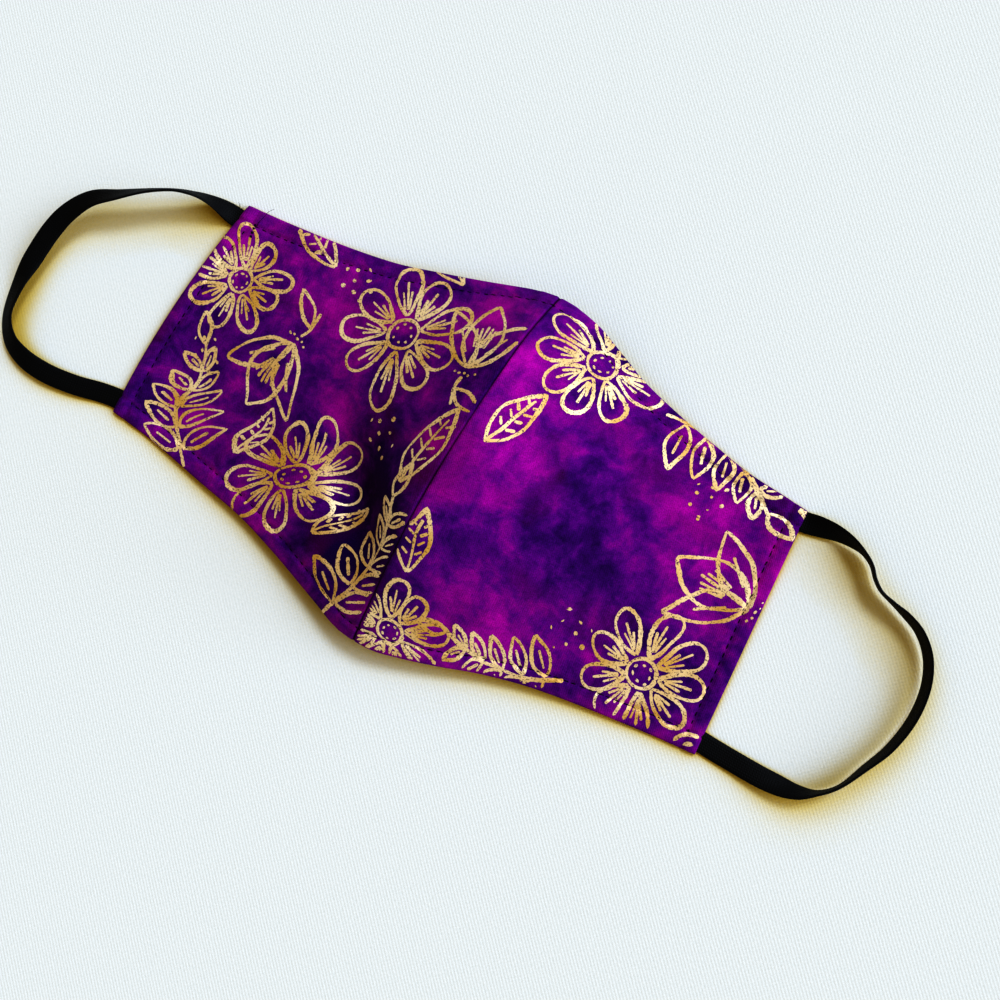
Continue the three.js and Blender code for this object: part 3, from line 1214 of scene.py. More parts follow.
@dataclass(frozen=True)
class PaleTable:
    """Near-white table covering with a fine grain, and a painted yellow shadow close under the cloth and
    straps.
    """

    name: str = "pale_table"
    colour: str = "f3f8fa"
    threads_to_metre: float = 1500.0
    painted_shadow_reach: float = 0.02
    painted_shadow_way: tuple[float, float, float] = (0.0, 0.45, 0.89)
    painted_shadow_tints: tuple[tuple[float, str], ...] = (
        (0.35, "d8aa3a"),
        (0.6, "eac658"),
        (0.79, "f8e6ae"),
        (0.9, "ffffff"),
    )

    def make(self) -> bpy.types.Material:
        """Build the material.

        Returns:
            The material.
        """
        pen = NodePen(self.name)
        place = pen.place(False)
        grain = pen.noise(place, 1300.0, 3.0, 0.55)
        tint = pen.ramp(grain, [(0.3, srgb("eaf1f3")), (0.7, srgb(self.colour))])
        # Painted yellow shadow under the cloth and straps.
        tint = pen.blend("MULTIPLY", 1.0, tint, self.painted_warm_shadow(pen))
        pen.join(tint, "Color", pen.shader, "Base Color")
        weave = crossing_threads(pen, place, self.threads_to_metre)
        woven = pen.bump(weave, 0.17, 0.00022)
        pen.join(pen.bump(grain, 0.22, 0.0003, woven), "Normal", pen.shader, "Normal")
        pen.set(Roughness=0.85, Specular_IOR_Level=0.2)
        return pen.material

    def painted_warm_shadow(self, pen: NodePen) -> bpy.types.Node:
        """Painted shadow: a yellow tint on the covering close under the cloth and straps, where less of the
        sky is open.

        Args:
            pen: the pen that draws the material.

        Returns:
            The node that gives the painted shadow.
        """
        way = pen.add("ShaderNodeCombineXYZ")
        for axis in range(3):
            way.inputs[axis].default_value = self.painted_shadow_way[axis]
        open_sky = pen.add("ShaderNodeAmbientOcclusion", samples=12)
        open_sky.inputs["Distance"].default_value = self.painted_shadow_reach
        pen.join(way, "Vector", open_sky, "Normal")
        return pen.ramp(open_sky, [(stop, srgb(code)) for stop, code in self.painted_shadow_tints])


class Motif(Enum):
    """Plain plant forms that the gold line print is drawn from."""

    DAISY = "daisy"
    SPRAY = "spray"
    TULIP = "tulip"
    LEAF = "leaf"
    TENDRIL = "tendril"
    SEEDS = "seeds"


@dataclass(frozen=True)
class Placed:
    """A motif at a place on the cut: distance from the seam, height, turn and size."""

    motif: Motif
    u: float
    v: float
    turn: float
    size: float


@dataclass(frozen=True)
class Stroke:
    """A drawn line on the cut, in mm, with its width."""

    points: np.ndarray
    width: float


PRINT_LAYOUT = {
    Side.LEFT: (
        Placed(Motif.DAISY, 39, 27, 10, 23.0),
        Placed(Motif.DAISY, 47, -27, 40, 20.5),
        Placed(Motif.DAISY, 99, 17, 20, 17.5),
        Placed(Motif.TULIP, 71, 8, 196, 24.0),
        Placed(Motif.SPRAY, 13, -62, 4, 46.0),
        Placed(Motif.SPRAY, 78, -42, -30, 42.0),
        Placed(Motif.LEAF, 10, -11, 8, 26.0),
        Placed(Motif.TULIP, 11, 27, -8, 23.0),
        Placed(Motif.LEAF, 30, 52, -72, 25.0),
        Placed(Motif.LEAF, 72, 36, -66, 22.0),
        Placed(Motif.SEEDS, 26, -2, 0, 6.5),
        Placed(Motif.SEEDS, 62, 35, 0, 6.0),
        Placed(Motif.LEAF, 66, -30, -12, 18.0),
        Placed(Motif.LEAF, 29, -40, 30, 15.0),
        Placed(Motif.SEEDS, 98, -8, 0, 5.5),
    ),
    Side.RIGHT: (
        Placed(Motif.DAISY, 23, 49, 25, 21.0),
        Placed(Motif.SPRAY, 47, 45, -106, 44.0),
        Placed(Motif.LEAF, 7, 10, -20, 22.0),
        Placed(Motif.TULIP, 101, 6, 84, 26.0),
        Placed(Motif.DAISY, 82, -26, 0, 20.0),
        Placed(Motif.SPRAY, 62, -40, 98, 38.0),
        Placed(Motif.SEEDS, 57, -26, 10, 7.0),
        Placed(Motif.DAISY, 9, -55, 15, 18.0),
        Placed(Motif.LEAF, 95, 38, -70, 17.0),
        Placed(Motif.SEEDS, 72, 28, 40, 6.0),
        Placed(Motif.LEAF, 6, -34, 14, 20.0),
        Placed(Motif.TENDRIL, 104, -40, 80, 6.0),
    ),
}


@dataclass
class GoldPrint:
    """Line print on one half: plain flowers, leaves and seeds in gold foil."""

    shape: PanelShape
    line: float = 1.12
    step: float = 0.62
    lift: float = 0.06
    sunk: float = -0.1
    margin: float = 0.7
    wobble: float = 0.42
    seed: int = 7
    strokes: list[Stroke] = field(default_factory=list)

    def draw(self) -> None:
        """Draw every placed motif as strokes on the cut."""
        self.random = np.random.default_rng(self.seed + self.shape.side.away)
        makers: dict[Motif, Callable[[float], list[Stroke]]] = {
            Motif.DAISY: self.daisy,
            Motif.SPRAY: self.spray,
            Motif.TULIP: self.tulip,
            Motif.LEAF: self.leaf,
            Motif.TENDRIL: self.tendril,
            Motif.SEEDS: self.seeds,
        }
        for placed in PRINT_LAYOUT[self.shape.side]:
            turn = math.radians(placed.turn)
            for stroke in makers[placed.motif](placed.size):
                points = self.turned(stroke.points, turn) + (placed.u, placed.v)
                self.strokes.append(Stroke(self.hand_drawn(points), stroke.width))

    @staticmethod
    def turned(points: np.ndarray, turn: float) -> np.ndarray:
        """Turn points about the origin, counter-clockwise in radians."""
        c, s = math.cos(turn), math.sin(turn)
        return points @ np.array([[c, s], [-s, c]])

    def hand_drawn(self, points: np.ndarray) -> np.ndarray:
        """Give a line the small unsteadiness of a hand.

        Args:
            points: the line's points on the cut, in mm.

        Returns:
            The points, pushed a little aside.
        """
        u, v = points[:, 0], points[:, 1]
        phase = self.random.uniform(0, 6.28, 4)
        push_u = np.sin(v / 2.7 + phase[0]) + 0.6 * np.sin((u + v) / 1.6 + phase[1])
        push_v = np.sin(u / 3.1 + phase[2]) + 0.6 * np.sin((u - v) / 1.8 + phase[3])
        return points + self.wobble * 0.5 * np.stack([push_u, push_v], axis=-1)

    def outline(
        self, length: float, width: float, tip: float, start: float = 0.0, bend: float = 0.0
    ) -> np.ndarray:
        """Outline of a petal or leaf that grows along +V from the origin.

        Args:
            length: distance from base to tip.
            width: full width.
            tip: 0 for a rounded end, 1 for a pointed one.
            start: distance of the base from the origin.
            bend: sideways shift of the tip.

        Returns:
            The outline's points, from the base round and back.
        """
        t = (1 - np.cos(np.linspace(0, math.pi, 26))) / 2
        rounded = t**0.75 * np.sqrt(np.clip(1 - t**3.2, 0, 1)) * 1.18
        pointed = np.sin(math.pi * t**0.85) ** 1.05
        half = width / 2 * mix(rounded, pointed, tip)
        middle = bend * t**2
        up = start + length * t
        left = np.stack([middle - half, up], axis=-1)
        right = np.stack([middle + half, up], axis=-1)[::-1]
        return np.concatenate((left, right[1:]))

    def daisy(self, size: float) -> list[Stroke]:
        """Round flower: long rounded petals about a ring of seeds.

        Args:
            size: the motif's size, in mm.

        Returns:
            The motif's strokes, about the origin.
        """
        strokes = []
        petals = 9 if size > 16 else 8
        core = 0.27 * size
        for k in range(petals):
            turn = 2 * math.pi * (k + self.random.uniform(-0.12, 0.12)) / petals
            reach = size * self.random.uniform(0.86, 1.06) - core
            petal = self.outline(reach, size * 0.5, 0.12, start=core, bend=self.random.uniform(-1.6, 1.6))
            strokes.append(Stroke(self.turned(petal, turn), self.line))
            for side, far in ((-0.8, 0.5), (0.0, 0.72), (0.8, 0.5)):
                rib = np.array([[side * 0.4, core + 0.12 * reach], [side * 1.9, core + far * reach]])
                strokes.append(Stroke(self.turned(rib, turn), self.line * 0.66))
        ring = np.linspace(0, 2 * math.pi, 22)
        strokes.append(Stroke(core * 0.82 * np.stack([np.cos(ring), np.sin(ring)], axis=-1), self.line))
        for k in range(7):
            angle = 2 * math.pi * k / 7
            at = core * 0.42 * np.array([math.cos(angle), math.sin(angle)])
            strokes.append(Stroke(np.array([at, at * 1.35]), self.line * 1.1))
        return strokes

    def leaf(self, size: float) -> list[Stroke]:
        """Pointed leaf with a midrib and slanting veins.

        Args:
            size: the motif's size, in mm.

        Returns:
            The motif's strokes, about the origin.
        """
        bend = self.random.uniform(-0.16, 0.16) * size
        strokes = [Stroke(self.outline(size, size * 0.42, 0.95, bend=bend), self.line)]
        t = np.linspace(0.0, 0.84, 9)
        strokes.append(Stroke(np.stack([bend * t**2, size * t], axis=-1), self.line * 0.8))
        for k in range(1, 5):
            at = 0.14 + 0.15 * k
            for side in (-1, 1):
                base = np.array([bend * at**2 + side * 0.9, size * at])
                tip = base + np.array([side * size * 0.1, size * 0.075])
                strokes.append(Stroke(np.array([base, tip]), self.line * 0.7))
        return strokes

    def spray(self, size: float) -> list[Stroke]:
        """Curved stem with pairs of small leaves.

        Args:
            size: the motif's size, in mm.

        Returns:
            The motif's strokes, about the origin.
        """
        t = np.linspace(0.0, 1.0, 18)
        bend = self.random.choice([-0.18, 0.18]) * size
        stem = np.stack([bend * np.sin(math.pi * t) * 0.6, size * t], axis=-1)
        strokes = [Stroke(stem, self.line)]
        for k in range(5):
            at = 0.12 + 0.17 * k
            base = np.array([bend * math.sin(math.pi * at) * 0.6, size * at])
            reach = size * (0.34 - 0.035 * k)
            for side in (-1, 1):
                turn = -side * math.radians(52 - 4 * k)
                blade = self.outline(reach, reach * 0.46, 0.8, start=0.8, bend=side * 1.2)
                strokes.append(Stroke(self.turned(blade, turn) + base, self.line * 0.92))
                rib = np.array([[0.0, reach * 0.28], [side * 0.5, reach * 0.72]])
                strokes.append(Stroke(self.turned(rib, turn) + base, self.line * 0.7))
        tip = self.outline(size * 0.24, size * 0.11, 0.9)
        strokes.append(Stroke(tip + stem[-1], self.line))
        return strokes

    def tulip(self, size: float) -> list[Stroke]:
        """Cup of three petals on a short stem, with stamens.

        Args:
            size: the motif's size, in mm.

        Returns:
            The motif's strokes, about the origin.
        """
        strokes = [Stroke(self.outline(size, size * 0.62, 0.75), self.line)]
        for side in (-1, 1):
            petal = self.outline(size * 0.95, size * 0.4, 0.85, bend=side * 3.2)
            strokes.append(Stroke(self.turned(petal, -side * 0.52), self.line))
            vein = np.array([[side * 0.6, size * 0.25], [side * 2.2, size * 0.62]])
            strokes.append(Stroke(self.turned(vein, -side * 0.5), self.line * 0.75))
        for k in range(-2, 3):
            stamen = np.array([[k * 0.9, size * 0.3], [k * 1.7, size * (0.66 - 0.04 * abs(k))]])
            strokes.append(Stroke(stamen, self.line * 0.75))
        for k in range(5):
            seed = np.array([[-3.6 + 1.8 * k, -1.6 - 0.5 * (k % 2)], [-3.4 + 1.7 * k, -2.4 - 0.5 * (k % 2)]])
            strokes.append(Stroke(seed, self.line * 1.05))
        stem = np.array([[0.0, -3.6], [0.8, -size * 0.3], [-0.6, -size * 0.55]])
        strokes.append(Stroke(stem, self.line))
        blade = self.outline(size * 0.55, size * 0.2, 0.95, bend=2.0)
        strokes.append(Stroke(self.turned(blade, 2.2) + (0.4, -size * 0.32), self.line * 0.9))
        return strokes

    def tendril(self, size: float) -> list[Stroke]:
        """Loosely curled tendril.

        Args:
            size: the motif's size, in mm.

        Returns:
            The motif's strokes, about the origin.
        """
        t = np.linspace(0.0, 1.0, 34)
        angle = 3.4 * math.pi * t
        reach = size * (1 - 0.82 * t)
        return [Stroke(np.stack([reach * np.cos(angle), reach * np.sin(angle)], axis=-1), self.line * 0.9)]

    def seeds(self, size: float) -> list[Stroke]:
        """Scattered round and long seeds.

        Args:
            size: the motif's size, in mm.

        Returns:
            The motif's strokes, about the origin.
        """
        strokes = []
        for k in range(9):
            angle = 2.4 * k
            at = size * math.sqrt((k + 0.5) / 9) * np.array([math.cos(angle), math.sin(angle)])
            far = at + self.random.uniform(0.5, 1.9) * np.array([math.cos(angle), math.sin(angle)])
            strokes.append(Stroke(np.array([at, far]), self.line * self.random.uniform(0.9, 1.3)))
        return strokes

    def inked_runs(self, stroke: Stroke) -> list[np.ndarray]:
        """Even steps along a stroke, cut where the print runs off the cloth.

        Args:
            stroke: the stroke.

        Returns:
            The runs of places that stay on the cloth.
        """
        points = self.smoothed(stroke.points)
        walked = step_lengths(points, axis=0)
        total = walked[-1]
        half = stroke.width / 2
        ends = half * np.array([0.0, 0.06, 0.2, 0.45, 0.8])
        count = max(int((total - 2 * half) / self.step), 1)
        middle = np.linspace(half, total - half, count + 1) if total > 2.2 * half else np.array([total / 2])
        stops = np.unique(np.concatenate((ends[ends < total / 2], middle, total - ends[ends < total / 2])))
        route = np.stack([np.interp(stops, walked, points[:, c]) for c in (0, 1)], axis=-1)
        shape = self.shape
        rows = shape.cut_v[shape.cut_v.shape[0] // 2]
        widths = np.interp(route[:, 1], rows, shape.full_width[0])
        halves = np.interp(route[:, 0], shape.from_seam.mean(axis=1), shape.full_length[:, 0]) / 2
        room = np.minimum(np.minimum(route[:, 0], widths - route[:, 0]), halves - np.abs(route[:, 1]))
        kept = room > self.margin
        cuts = np.flatnonzero(np.diff(kept.astype(int))) + 1
        runs = [run for run, keep in zip(np.split(route, cuts), np.split(kept, cuts)) if keep[0]]
        return [run for run in runs if len(run) > 3]

    @staticmethod
    def smoothed(points: np.ndarray) -> np.ndarray:
        """Round the corners of a line by passing it through a smooth curve.

        Args:
            points: the line's points.

        Returns:
            The curve's places.
        """
        if len(points) < 3:
            return mix(points[:1], points[-1:], np.linspace(0, 1, 12)[:, None])
        before = np.concatenate((2 * points[:1] - points[1:2], points[:-1]))[:-1]
        after = np.concatenate((points[1:], 2 * points[-1:] - points[-2:-1]))[1:]
        start, end = points[:-1], points[1:]
        t = np.linspace(0, 1, 7)[:-1][None, :, None]
        first, last = (end - before)[:, None] / 2, (after - start)[:, None] / 2
        start, end = start[:, None], end[:, None]
        curve = hermite(t, start, end, first, last)
        return np.concatenate((curve.reshape(-1, 2), points[-1:]))

    def build(self, name: str) -> bpy.types.Object:
        """Lay every stroke on the cloth as a thin closed strip.

        Args:
            name: the piece's name.

        Returns:
            The piece.
        """
        self.draw()
        points, faces, start = [], [], 0
        for stroke in self.strokes:
            for run in self.inked_runs(stroke):
                ring, links = self.strip(run, stroke.width, start)
                points.append(ring)
                faces.append(links)
                start += len(ring)
        mesh = mesh_from_arrays(name, np.concatenate(points), np.concatenate(faces))
        mesh.shade_flat()
        return add_object(name, mesh)

    def strip(self, run: np.ndarray, width: float, start: int) -> tuple[np.ndarray, np.ndarray]:
        """One strip of foil: five points in each cross-section.

        Args:
            run: places on the cut.
            width: width of the line.
            start: number of the strip's first corner in the whole mesh.

        Returns:
            The strip's corners in mm and its faces.
        """
        walked = step_lengths(run, axis=0)
        from_end = np.minimum(walked, walked[-1] - walked)
        near = np.clip(from_end / (width / 2), 0.0, 1.0)
        rounding = np.sqrt(np.clip(1 - (1 - near) ** 2, 0.02, 1.0))
        ragged = 1 + 0.13 * self.random.standard_normal(len(run)).clip(-1.6, 1.6)
        pressed = 1.05 + 0.22 * np.sin(walked / 5.3 + self.random.uniform(0, 6.28))
        half = width / 2 * rounding * ragged * pressed
        ahead = unit(np.gradient(run, axis=0) + 1e-9)
        sideward = np.stack([-ahead[:, 1], ahead[:, 0]], axis=-1)
        offsets = (
            (-1.0, self.sunk),
            (-0.97, self.lift * 0.9),
            (0.0, self.lift),
            (0.97, self.lift * 0.9),
            (1.0, self.sunk),
            (0.0, self.sunk),
        )
        rings = []
        for share, lift in offsets:
            at = run + sideward * (share * half)[:, None]
            rings.append(self.shape.on_cloth(at[:, 0], at[:, 1], lift))
        corners = np.stack(rings, axis=1)
        links = swept(np.roll(corners, 1, axis=1))
        if self.shape.side is Side.RIGHT:
            links = links[:, ::-1]
        return np.roll(corners, 1, axis=1).reshape(-1, 3), links + start


def smooth_route(points: np.ndarray, per_span: int) -> np.ndarray:
    """Pass a smooth curve through points, with spans weighted by their length.

    Args:
        points: the points, one row each.
        per_span: places made in each span.

    Returns:
        The curve's places.
    """
    padded = np.concatenate((2 * points[:1] - points[1:2], points, 2 * points[-1:] - points[-2:-1]))
    gaps = np.maximum(np.linalg.norm(np.diff(padded[:, :3], axis=0), axis=1) ** 0.5, 1e-4)[:, None]
    spans = np.diff(padded, axis=0)
    d0, d1, d2 = gaps[:-2], gaps[1:-1], gaps[2:]
    first = (spans[:-2] / d0 - (spans[:-2] + spans[1:-1]) / (d0 + d1) + spans[1:-1] / d1) * d1
    last = (spans[1:-1] / d1 - (spans[1:-1] + spans[2:]) / (d1 + d2) + spans[2:] / d2) * d1
    t = np.linspace(0, 1, per_span + 1)[:-1][None, :, None]
    start, end = padded[1:-2][:, None], padded[2:-1][:, None]
    first, last = first[:, None], last[:, None]
    curve = hermite(t, start, end, first, last)
    return np.concatenate((curve.reshape(-1, points.shape[1]), points[-1:]))


def evened(route: np.ndarray, step: float) -> np.ndarray:
    """Read a route again at even steps, measured on its first three columns.

    Args:
        route: places in mm, with any further columns.
        step: the step, in mm.

    Returns:
        The route at even steps.
    """
    walked = step_lengths(route[:, :3], axis=0)
    count = max(int(round(walked[-1] / step)), 2)
    stops = np.linspace(0, walked[-1], count + 1)
    return np.stack([np.interp(stops, walked, route[:, c]) for c in range(route.shape[1])], axis=-1)


def swept(rings: np.ndarray) -> np.ndarray:
    """Faces that join rings of corners, with both ends closed by quads.

    Args:
        rings: corners, ring by ring, an even number round each.

    Returns:
        The faces, which point out where the rings turn clockwise about the way ahead.
    """
    length, around = rings.shape[:2]
    k, j = np.meshgrid(np.arange(length - 1), np.arange(around), indexing="ij")
    nxt = (j + 1) % around
    near, far = k * around, (k + 1) * around
    sides = np.stack([near + j, near + nxt, far + nxt, far + j], axis=-1)
    half = around // 2
    low = np.arange(half - 1)
    cap = np.stack([low, low + 1, around - 2 - low, around - 1 - low], axis=-1)
    end = (length - 1) * around + cap
    return np.concatenate((sides.reshape(-1, 4), cap[:, ::-1], end))


def tube(name: str, route: np.ndarray, radius: float, taper: float = 0.6, around: int = 8) -> bpy.types.Mesh:
    """Thin round thread along a route.

    Args:
        name: the mesh's name.
        route: places in mm.
        radius: its radius in mm.
        taper: share of the radius left at its far end.
        around: corners round it, an even number.

    Returns:
        The mesh.
    """
    points, faces = tube_parts(route, radius, taper, around)
    return mesh_from_arrays(name, points, faces)


def tube_parts(route: np.ndarray, radius: float, taper: float, around: int) -> tuple[np.ndarray, np.ndarray]:
    """Corners and faces of a thin round thread.

    Args:
        route: places in mm.
        radius: its radius in mm.
        taper: share of the radius left at its far end.
        around: corners round it, an even number.

    Returns:
        The corners in mm, and the faces.
    """
    ahead = unit(np.gradient(route, axis=0))
    side = unit(np.cross(ahead, np.array([0.13, 0.21, 1.0])))
    up = np.cross(side, ahead)
    angle = np.linspace(0, 2 * math.pi, around, endpoint=False)
    size = radius * np.linspace(1.0, taper, len(route))[:, None, None]
    turn = side[:, None] * np.cos(angle)[None, :, None] + up[:, None] * np.sin(angle)[None, :, None]
    rings = route[:, None] + turn * size
    return rings.reshape(-1, 3), swept(rings)


@dataclass
class ElasticLoop:
    """Flat braided elastic that leaves one corner of a half and comes back at the other."""

    side: Side
    shift: np.ndarray
    width: float = 6.35
    thickness: float = 1.0
    ribs: int = 9
    rib_height: float = 0.07
    across_points: int = 37
    step: float = 0.55
    tucked: float = 6.0

    def route(self) -> np.ndarray:
        """Middle line with the lean, from inside one hem to inside the other.

        Returns:
            Places in mm, with the lean in degrees as the fourth column.
        """
        rows = LOOP_ROUTE[self.side]
        count = len(rows)
        stops = [RouteRow(row.x, row.y, row.z, row.lean, k / (count - 1)) for k, row in enumerate(rows)]
        points = np.array([[row.x, row.y, row.z, row.stop] for row in stops])
        inward = -self.side.away * self.tucked
        first = points[0] + (inward, -0.3, 0.0, 0.0)
        last = points[-1] + (inward, 0.3, 0.0, 0.0)
        line = smooth_route(np.vstack((first, points, last)), per_span=14)
        lean = read_table(stops, "stop", "lean", np.clip(line[:, 3], 0.0, 1.0))
        line = np.column_stack((line[:, :3] + self.shift, lean))
        return evened(line, self.step)

    def section(self) -> np.ndarray:
        """Cross-section: places across and away from the middle plane, in mm.

        Returns:
            The places, once round.
        """
        t = np.linspace(-1, 1, self.across_points)
        bulge = np.sqrt(np.clip(1 - np.abs(t) ** 5, 0.0, 1.0))
        ribs = self.rib_height * (np.abs(np.cos(t * math.pi * self.ribs / 2)) - 1.0)
        height = (self.thickness / 2 + ribs) * np.maximum(bulge, 0.12)
        top = np.stack([t * self.width / 2, height], axis=-1)
        return np.concatenate((top, top[::-1] * (1, -1)))

    def build(self) -> bpy.types.Object:
        """Build the loop and let it stand for its plain solid.

        Returns:
            The piece.
        """
        route = self.route()
        places, lean = route[:, :3], np.radians(route[:, 3])[:, None]
        ahead = unit(np.gradient(places, axis=0))
        flat = unit(np.cross(np.array([0.0, 0.0, 1.0]), ahead))
        risen = np.cross(ahead, flat)
        widthward = flat * np.cos(lean) + risen * np.sin(lean)
        faceward = np.cross(ahead, widthward)
        section = self.section()
        rings = (
            places[:, None]
            + widthward[:, None] * section[None, :, :1]
            + faceward[:, None] * section[None, :, 1:]
        )
        walked = step_lengths(places, axis=0)
        u = np.broadcast_to(section[None, :, 0], rings.shape[:2])
        v = np.broadcast_to(walked[:, None], rings.shape[:2])
        uv = np.stack([u, v], axis=-1).reshape(-1, 2) * MM
        name = f"{self.side.value}_elastic_loop"
        mesh = mesh_from_arrays(name, rings.reshape(-1, 3), swept(rings)[:, ::-1], uv=uv)
        piece = add_object(name, mesh)
        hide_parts(f"{self.side.value}_ear_loop")
        return piece


@dataclass
class Stitcher:
    """Lays stitches along a route with Geometry Nodes."""

    material: bpy.types.Material
    pitch: float = 2.7
    length: float = 2.25
    width: float = 0.42
    height: float = 0.2
    unevenness: float = 0.05
    seed: int = 11

    def tree(self) -> tuple[bpy.types.NodeTree, dict[str, str]]:
        """Build the node tree.

        Returns:
            The tree, and the identifier of each named input.
        """
        tree = bpy.data.node_groups.new("stitches_along_a_line", "GeometryNodeTree")
        face = tree.interface
        face.new_socket("Line", in_out="INPUT", socket_type="NodeSocketGeometry")
        names = ("Pitch", "Stitch length", "Stitch width", "Stitch height", "Unevenness")
        sockets = {}
        for name in names:
            socket = face.new_socket(name, in_out="INPUT", socket_type="NodeSocketFloat")
            sockets[name] = socket.identifier
        face.new_socket("Stitches", in_out="OUTPUT", socket_type="NodeSocketGeometry")
        new, link = tree.nodes.new, tree.links.new
        given, out = new("NodeGroupInput"), new("NodeGroupOutput")
        curve, resample = new("GeometryNodeMeshToCurve"), new("GeometryNodeResampleCurve")
        resample.mode = "LENGTH"
        link(given.outputs["Line"], curve.inputs["Mesh"])
        link(curve.outputs["Curve"], resample.inputs["Curve"])
        link(given.outputs["Pitch"], resample.inputs["Length"])
        normal = new("GeometryNodeInputNamedAttribute")
        normal.data_type = "FLOAT_VECTOR"
        normal.inputs["Name"].default_value = "cloth_normal"
        ahead = new("GeometryNodeInputTangent")
        along, upright = new("FunctionNodeAlignRotationToVector"), new("FunctionNodeAlignRotationToVector")
        along.axis, upright.axis, upright.pivot_axis = "X", "Z", "X"
        link(ahead.outputs["Tangent"], along.inputs["Vector"])
        link(along.outputs["Rotation"], upright.inputs["Rotation"])
        link(normal.outputs["Attribute"], upright.inputs["Vector"])
        stitch = new("GeometryNodeMeshUVSphere")
        stitch.inputs["Segments"].default_value = 8
        stitch.inputs["Rings"].default_value = 6
        stitch.inputs["Radius"].default_value = 0.5
        size = new("ShaderNodeCombineXYZ")
        for name, axis in (("Stitch length", "X"), ("Stitch width", "Y"), ("Stitch height", "Z")):
            link(given.outputs[name], size.inputs[axis])
        uneven = new("FunctionNodeRandomValue")
        uneven.data_type = "FLOAT_VECTOR"
        uneven.inputs["Seed"].default_value = self.seed
        low, high = new("ShaderNodeVectorMath"), new("ShaderNodeVectorMath")
        low.operation = high.operation = "SCALE"
        low.inputs[0].default_value = (-1.0, -1.0, -1.0)
        high.inputs[0].default_value = (1.0, 1.0, 1.0)
        for scale, into in ((low, "Min"), (high, "Max")):
            link(given.outputs["Unevenness"], scale.inputs["Scale"])
            link(scale.outputs["Vector"], uneven.inputs[into])
        place = new("GeometryNodeInstanceOnPoints")
        link(resample.outputs["Curve"], place.inputs["Points"])
        link(stitch.outputs["Mesh"], place.inputs["Instance"])
        link(upright.outputs["Rotation"], place.inputs["Rotation"])
        link(size.outputs["Vector"], place.inputs["Scale"])
        turn = new("GeometryNodeRotateInstances")
        link(place.outputs["Instances"], turn.inputs["Instances"])
        link(uneven.outputs["Value"], turn.inputs["Rotation"])
        real, dress = new("GeometryNodeRealizeInstances"), new("GeometryNodeSetMaterial")
        dress.inputs["Material"].default_value = self.material
        link(turn.outputs["Instances"], real.inputs["Geometry"])
        link(real.outputs["Geometry"], dress.inputs["Geometry"])
        link(dress.outputs["Geometry"], out.inputs["Stitches"])
        return tree, sockets

    def sew(self, name: str, lines: Sequence[tuple[np.ndarray, np.ndarray]]) -> bpy.types.Object:
        """Sew stitches along lines and return them as one plain mesh piece.

        Args:
            name: the piece's name.
            lines: for each line its places in mm and the outward directions there.

        Returns:
            The piece.
        """
        points = np.concatenate([places for places, _ in lines]) * MM
        normals = np.concatenate([normals for _, normals in lines])
        edges, start = [], 0
        for places, _ in lines:
            edges += [(start + k, start + k + 1) for k in range(len(places) - 1)]
            start += len(places)
        guide = bpy.data.meshes.new(f"{name}_guide")
        guide.from_pydata(points.tolist(), edges, [])
        held = guide.attributes.new("cloth_normal", "FLOAT_VECTOR", "POINT")
        held.data.foreach_set("vector", normals.astype(np.float32).ravel())
        carrier = add_object(f"{name}_carrier", guide)
        tree, sockets = self.tree()
        modifier = carrier.modifiers.new("stitches", "NODES")
        modifier.node_group = tree
        values = {
            "Pitch": self.pitch * MM,
            "Stitch length": self.length * MM,
            "Stitch width": self.width * MM,
            "Stitch height": self.height * MM,
            "Unevenness": self.unevenness,
        }
        for socket, value in values.items():
            modifier[sockets[socket]] = value
        shown = carrier.evaluated_get(bpy.context.evaluated_depsgraph_get())
        mesh = bpy.data.meshes.new_from_object(shown)
        mesh.name = name
        carrier.modifiers.remove(modifier)
        bpy.data.objects.remove(carrier)
        mesh.shade_smooth()
        return add_object(name, mesh)


@dataclass
class ClothHalf:
    """One printed cotton half with its gold print and topstitching."""

    side: Side
    shift: np.ndarray

    def build(
        self, cotton: bpy.types.Material, foil: bpy.types.Material, thread: bpy.types.Material
    ) -> list[bpy.types.Object]:
        """Build the half's pieces and dress them.

        Args:
            cotton: the cloth's material.
            foil: the print's material.
            thread: the stitches' material.

        Returns:
            The cloth, the print and the topstitching.
        """
        self.shape = PanelShape(self.side, self.shift)
        self.shape.build()
        name = f"{self.side.value}_cloth_half"
        cloth = add_object(name, self.shape.mesh(name))
        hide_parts(f"{self.side.value}_panel")
        gold = GoldPrint(self.shape).build(f"{self.side.value}_gold_print")
        lines = [self.shape.stitch_line(edge) for edge in Edge]
        stitches = Stitcher(thread).sew(f"{self.side.value}_topstitching", lines)
        dress(cloth, cotton, "cotton")
        dress(gold, foil, "gold_foil")
        dress(stitches, thread, "thread")
        flat, area = self.shape.flat_cut()
        return [cloth, gold, stitches]


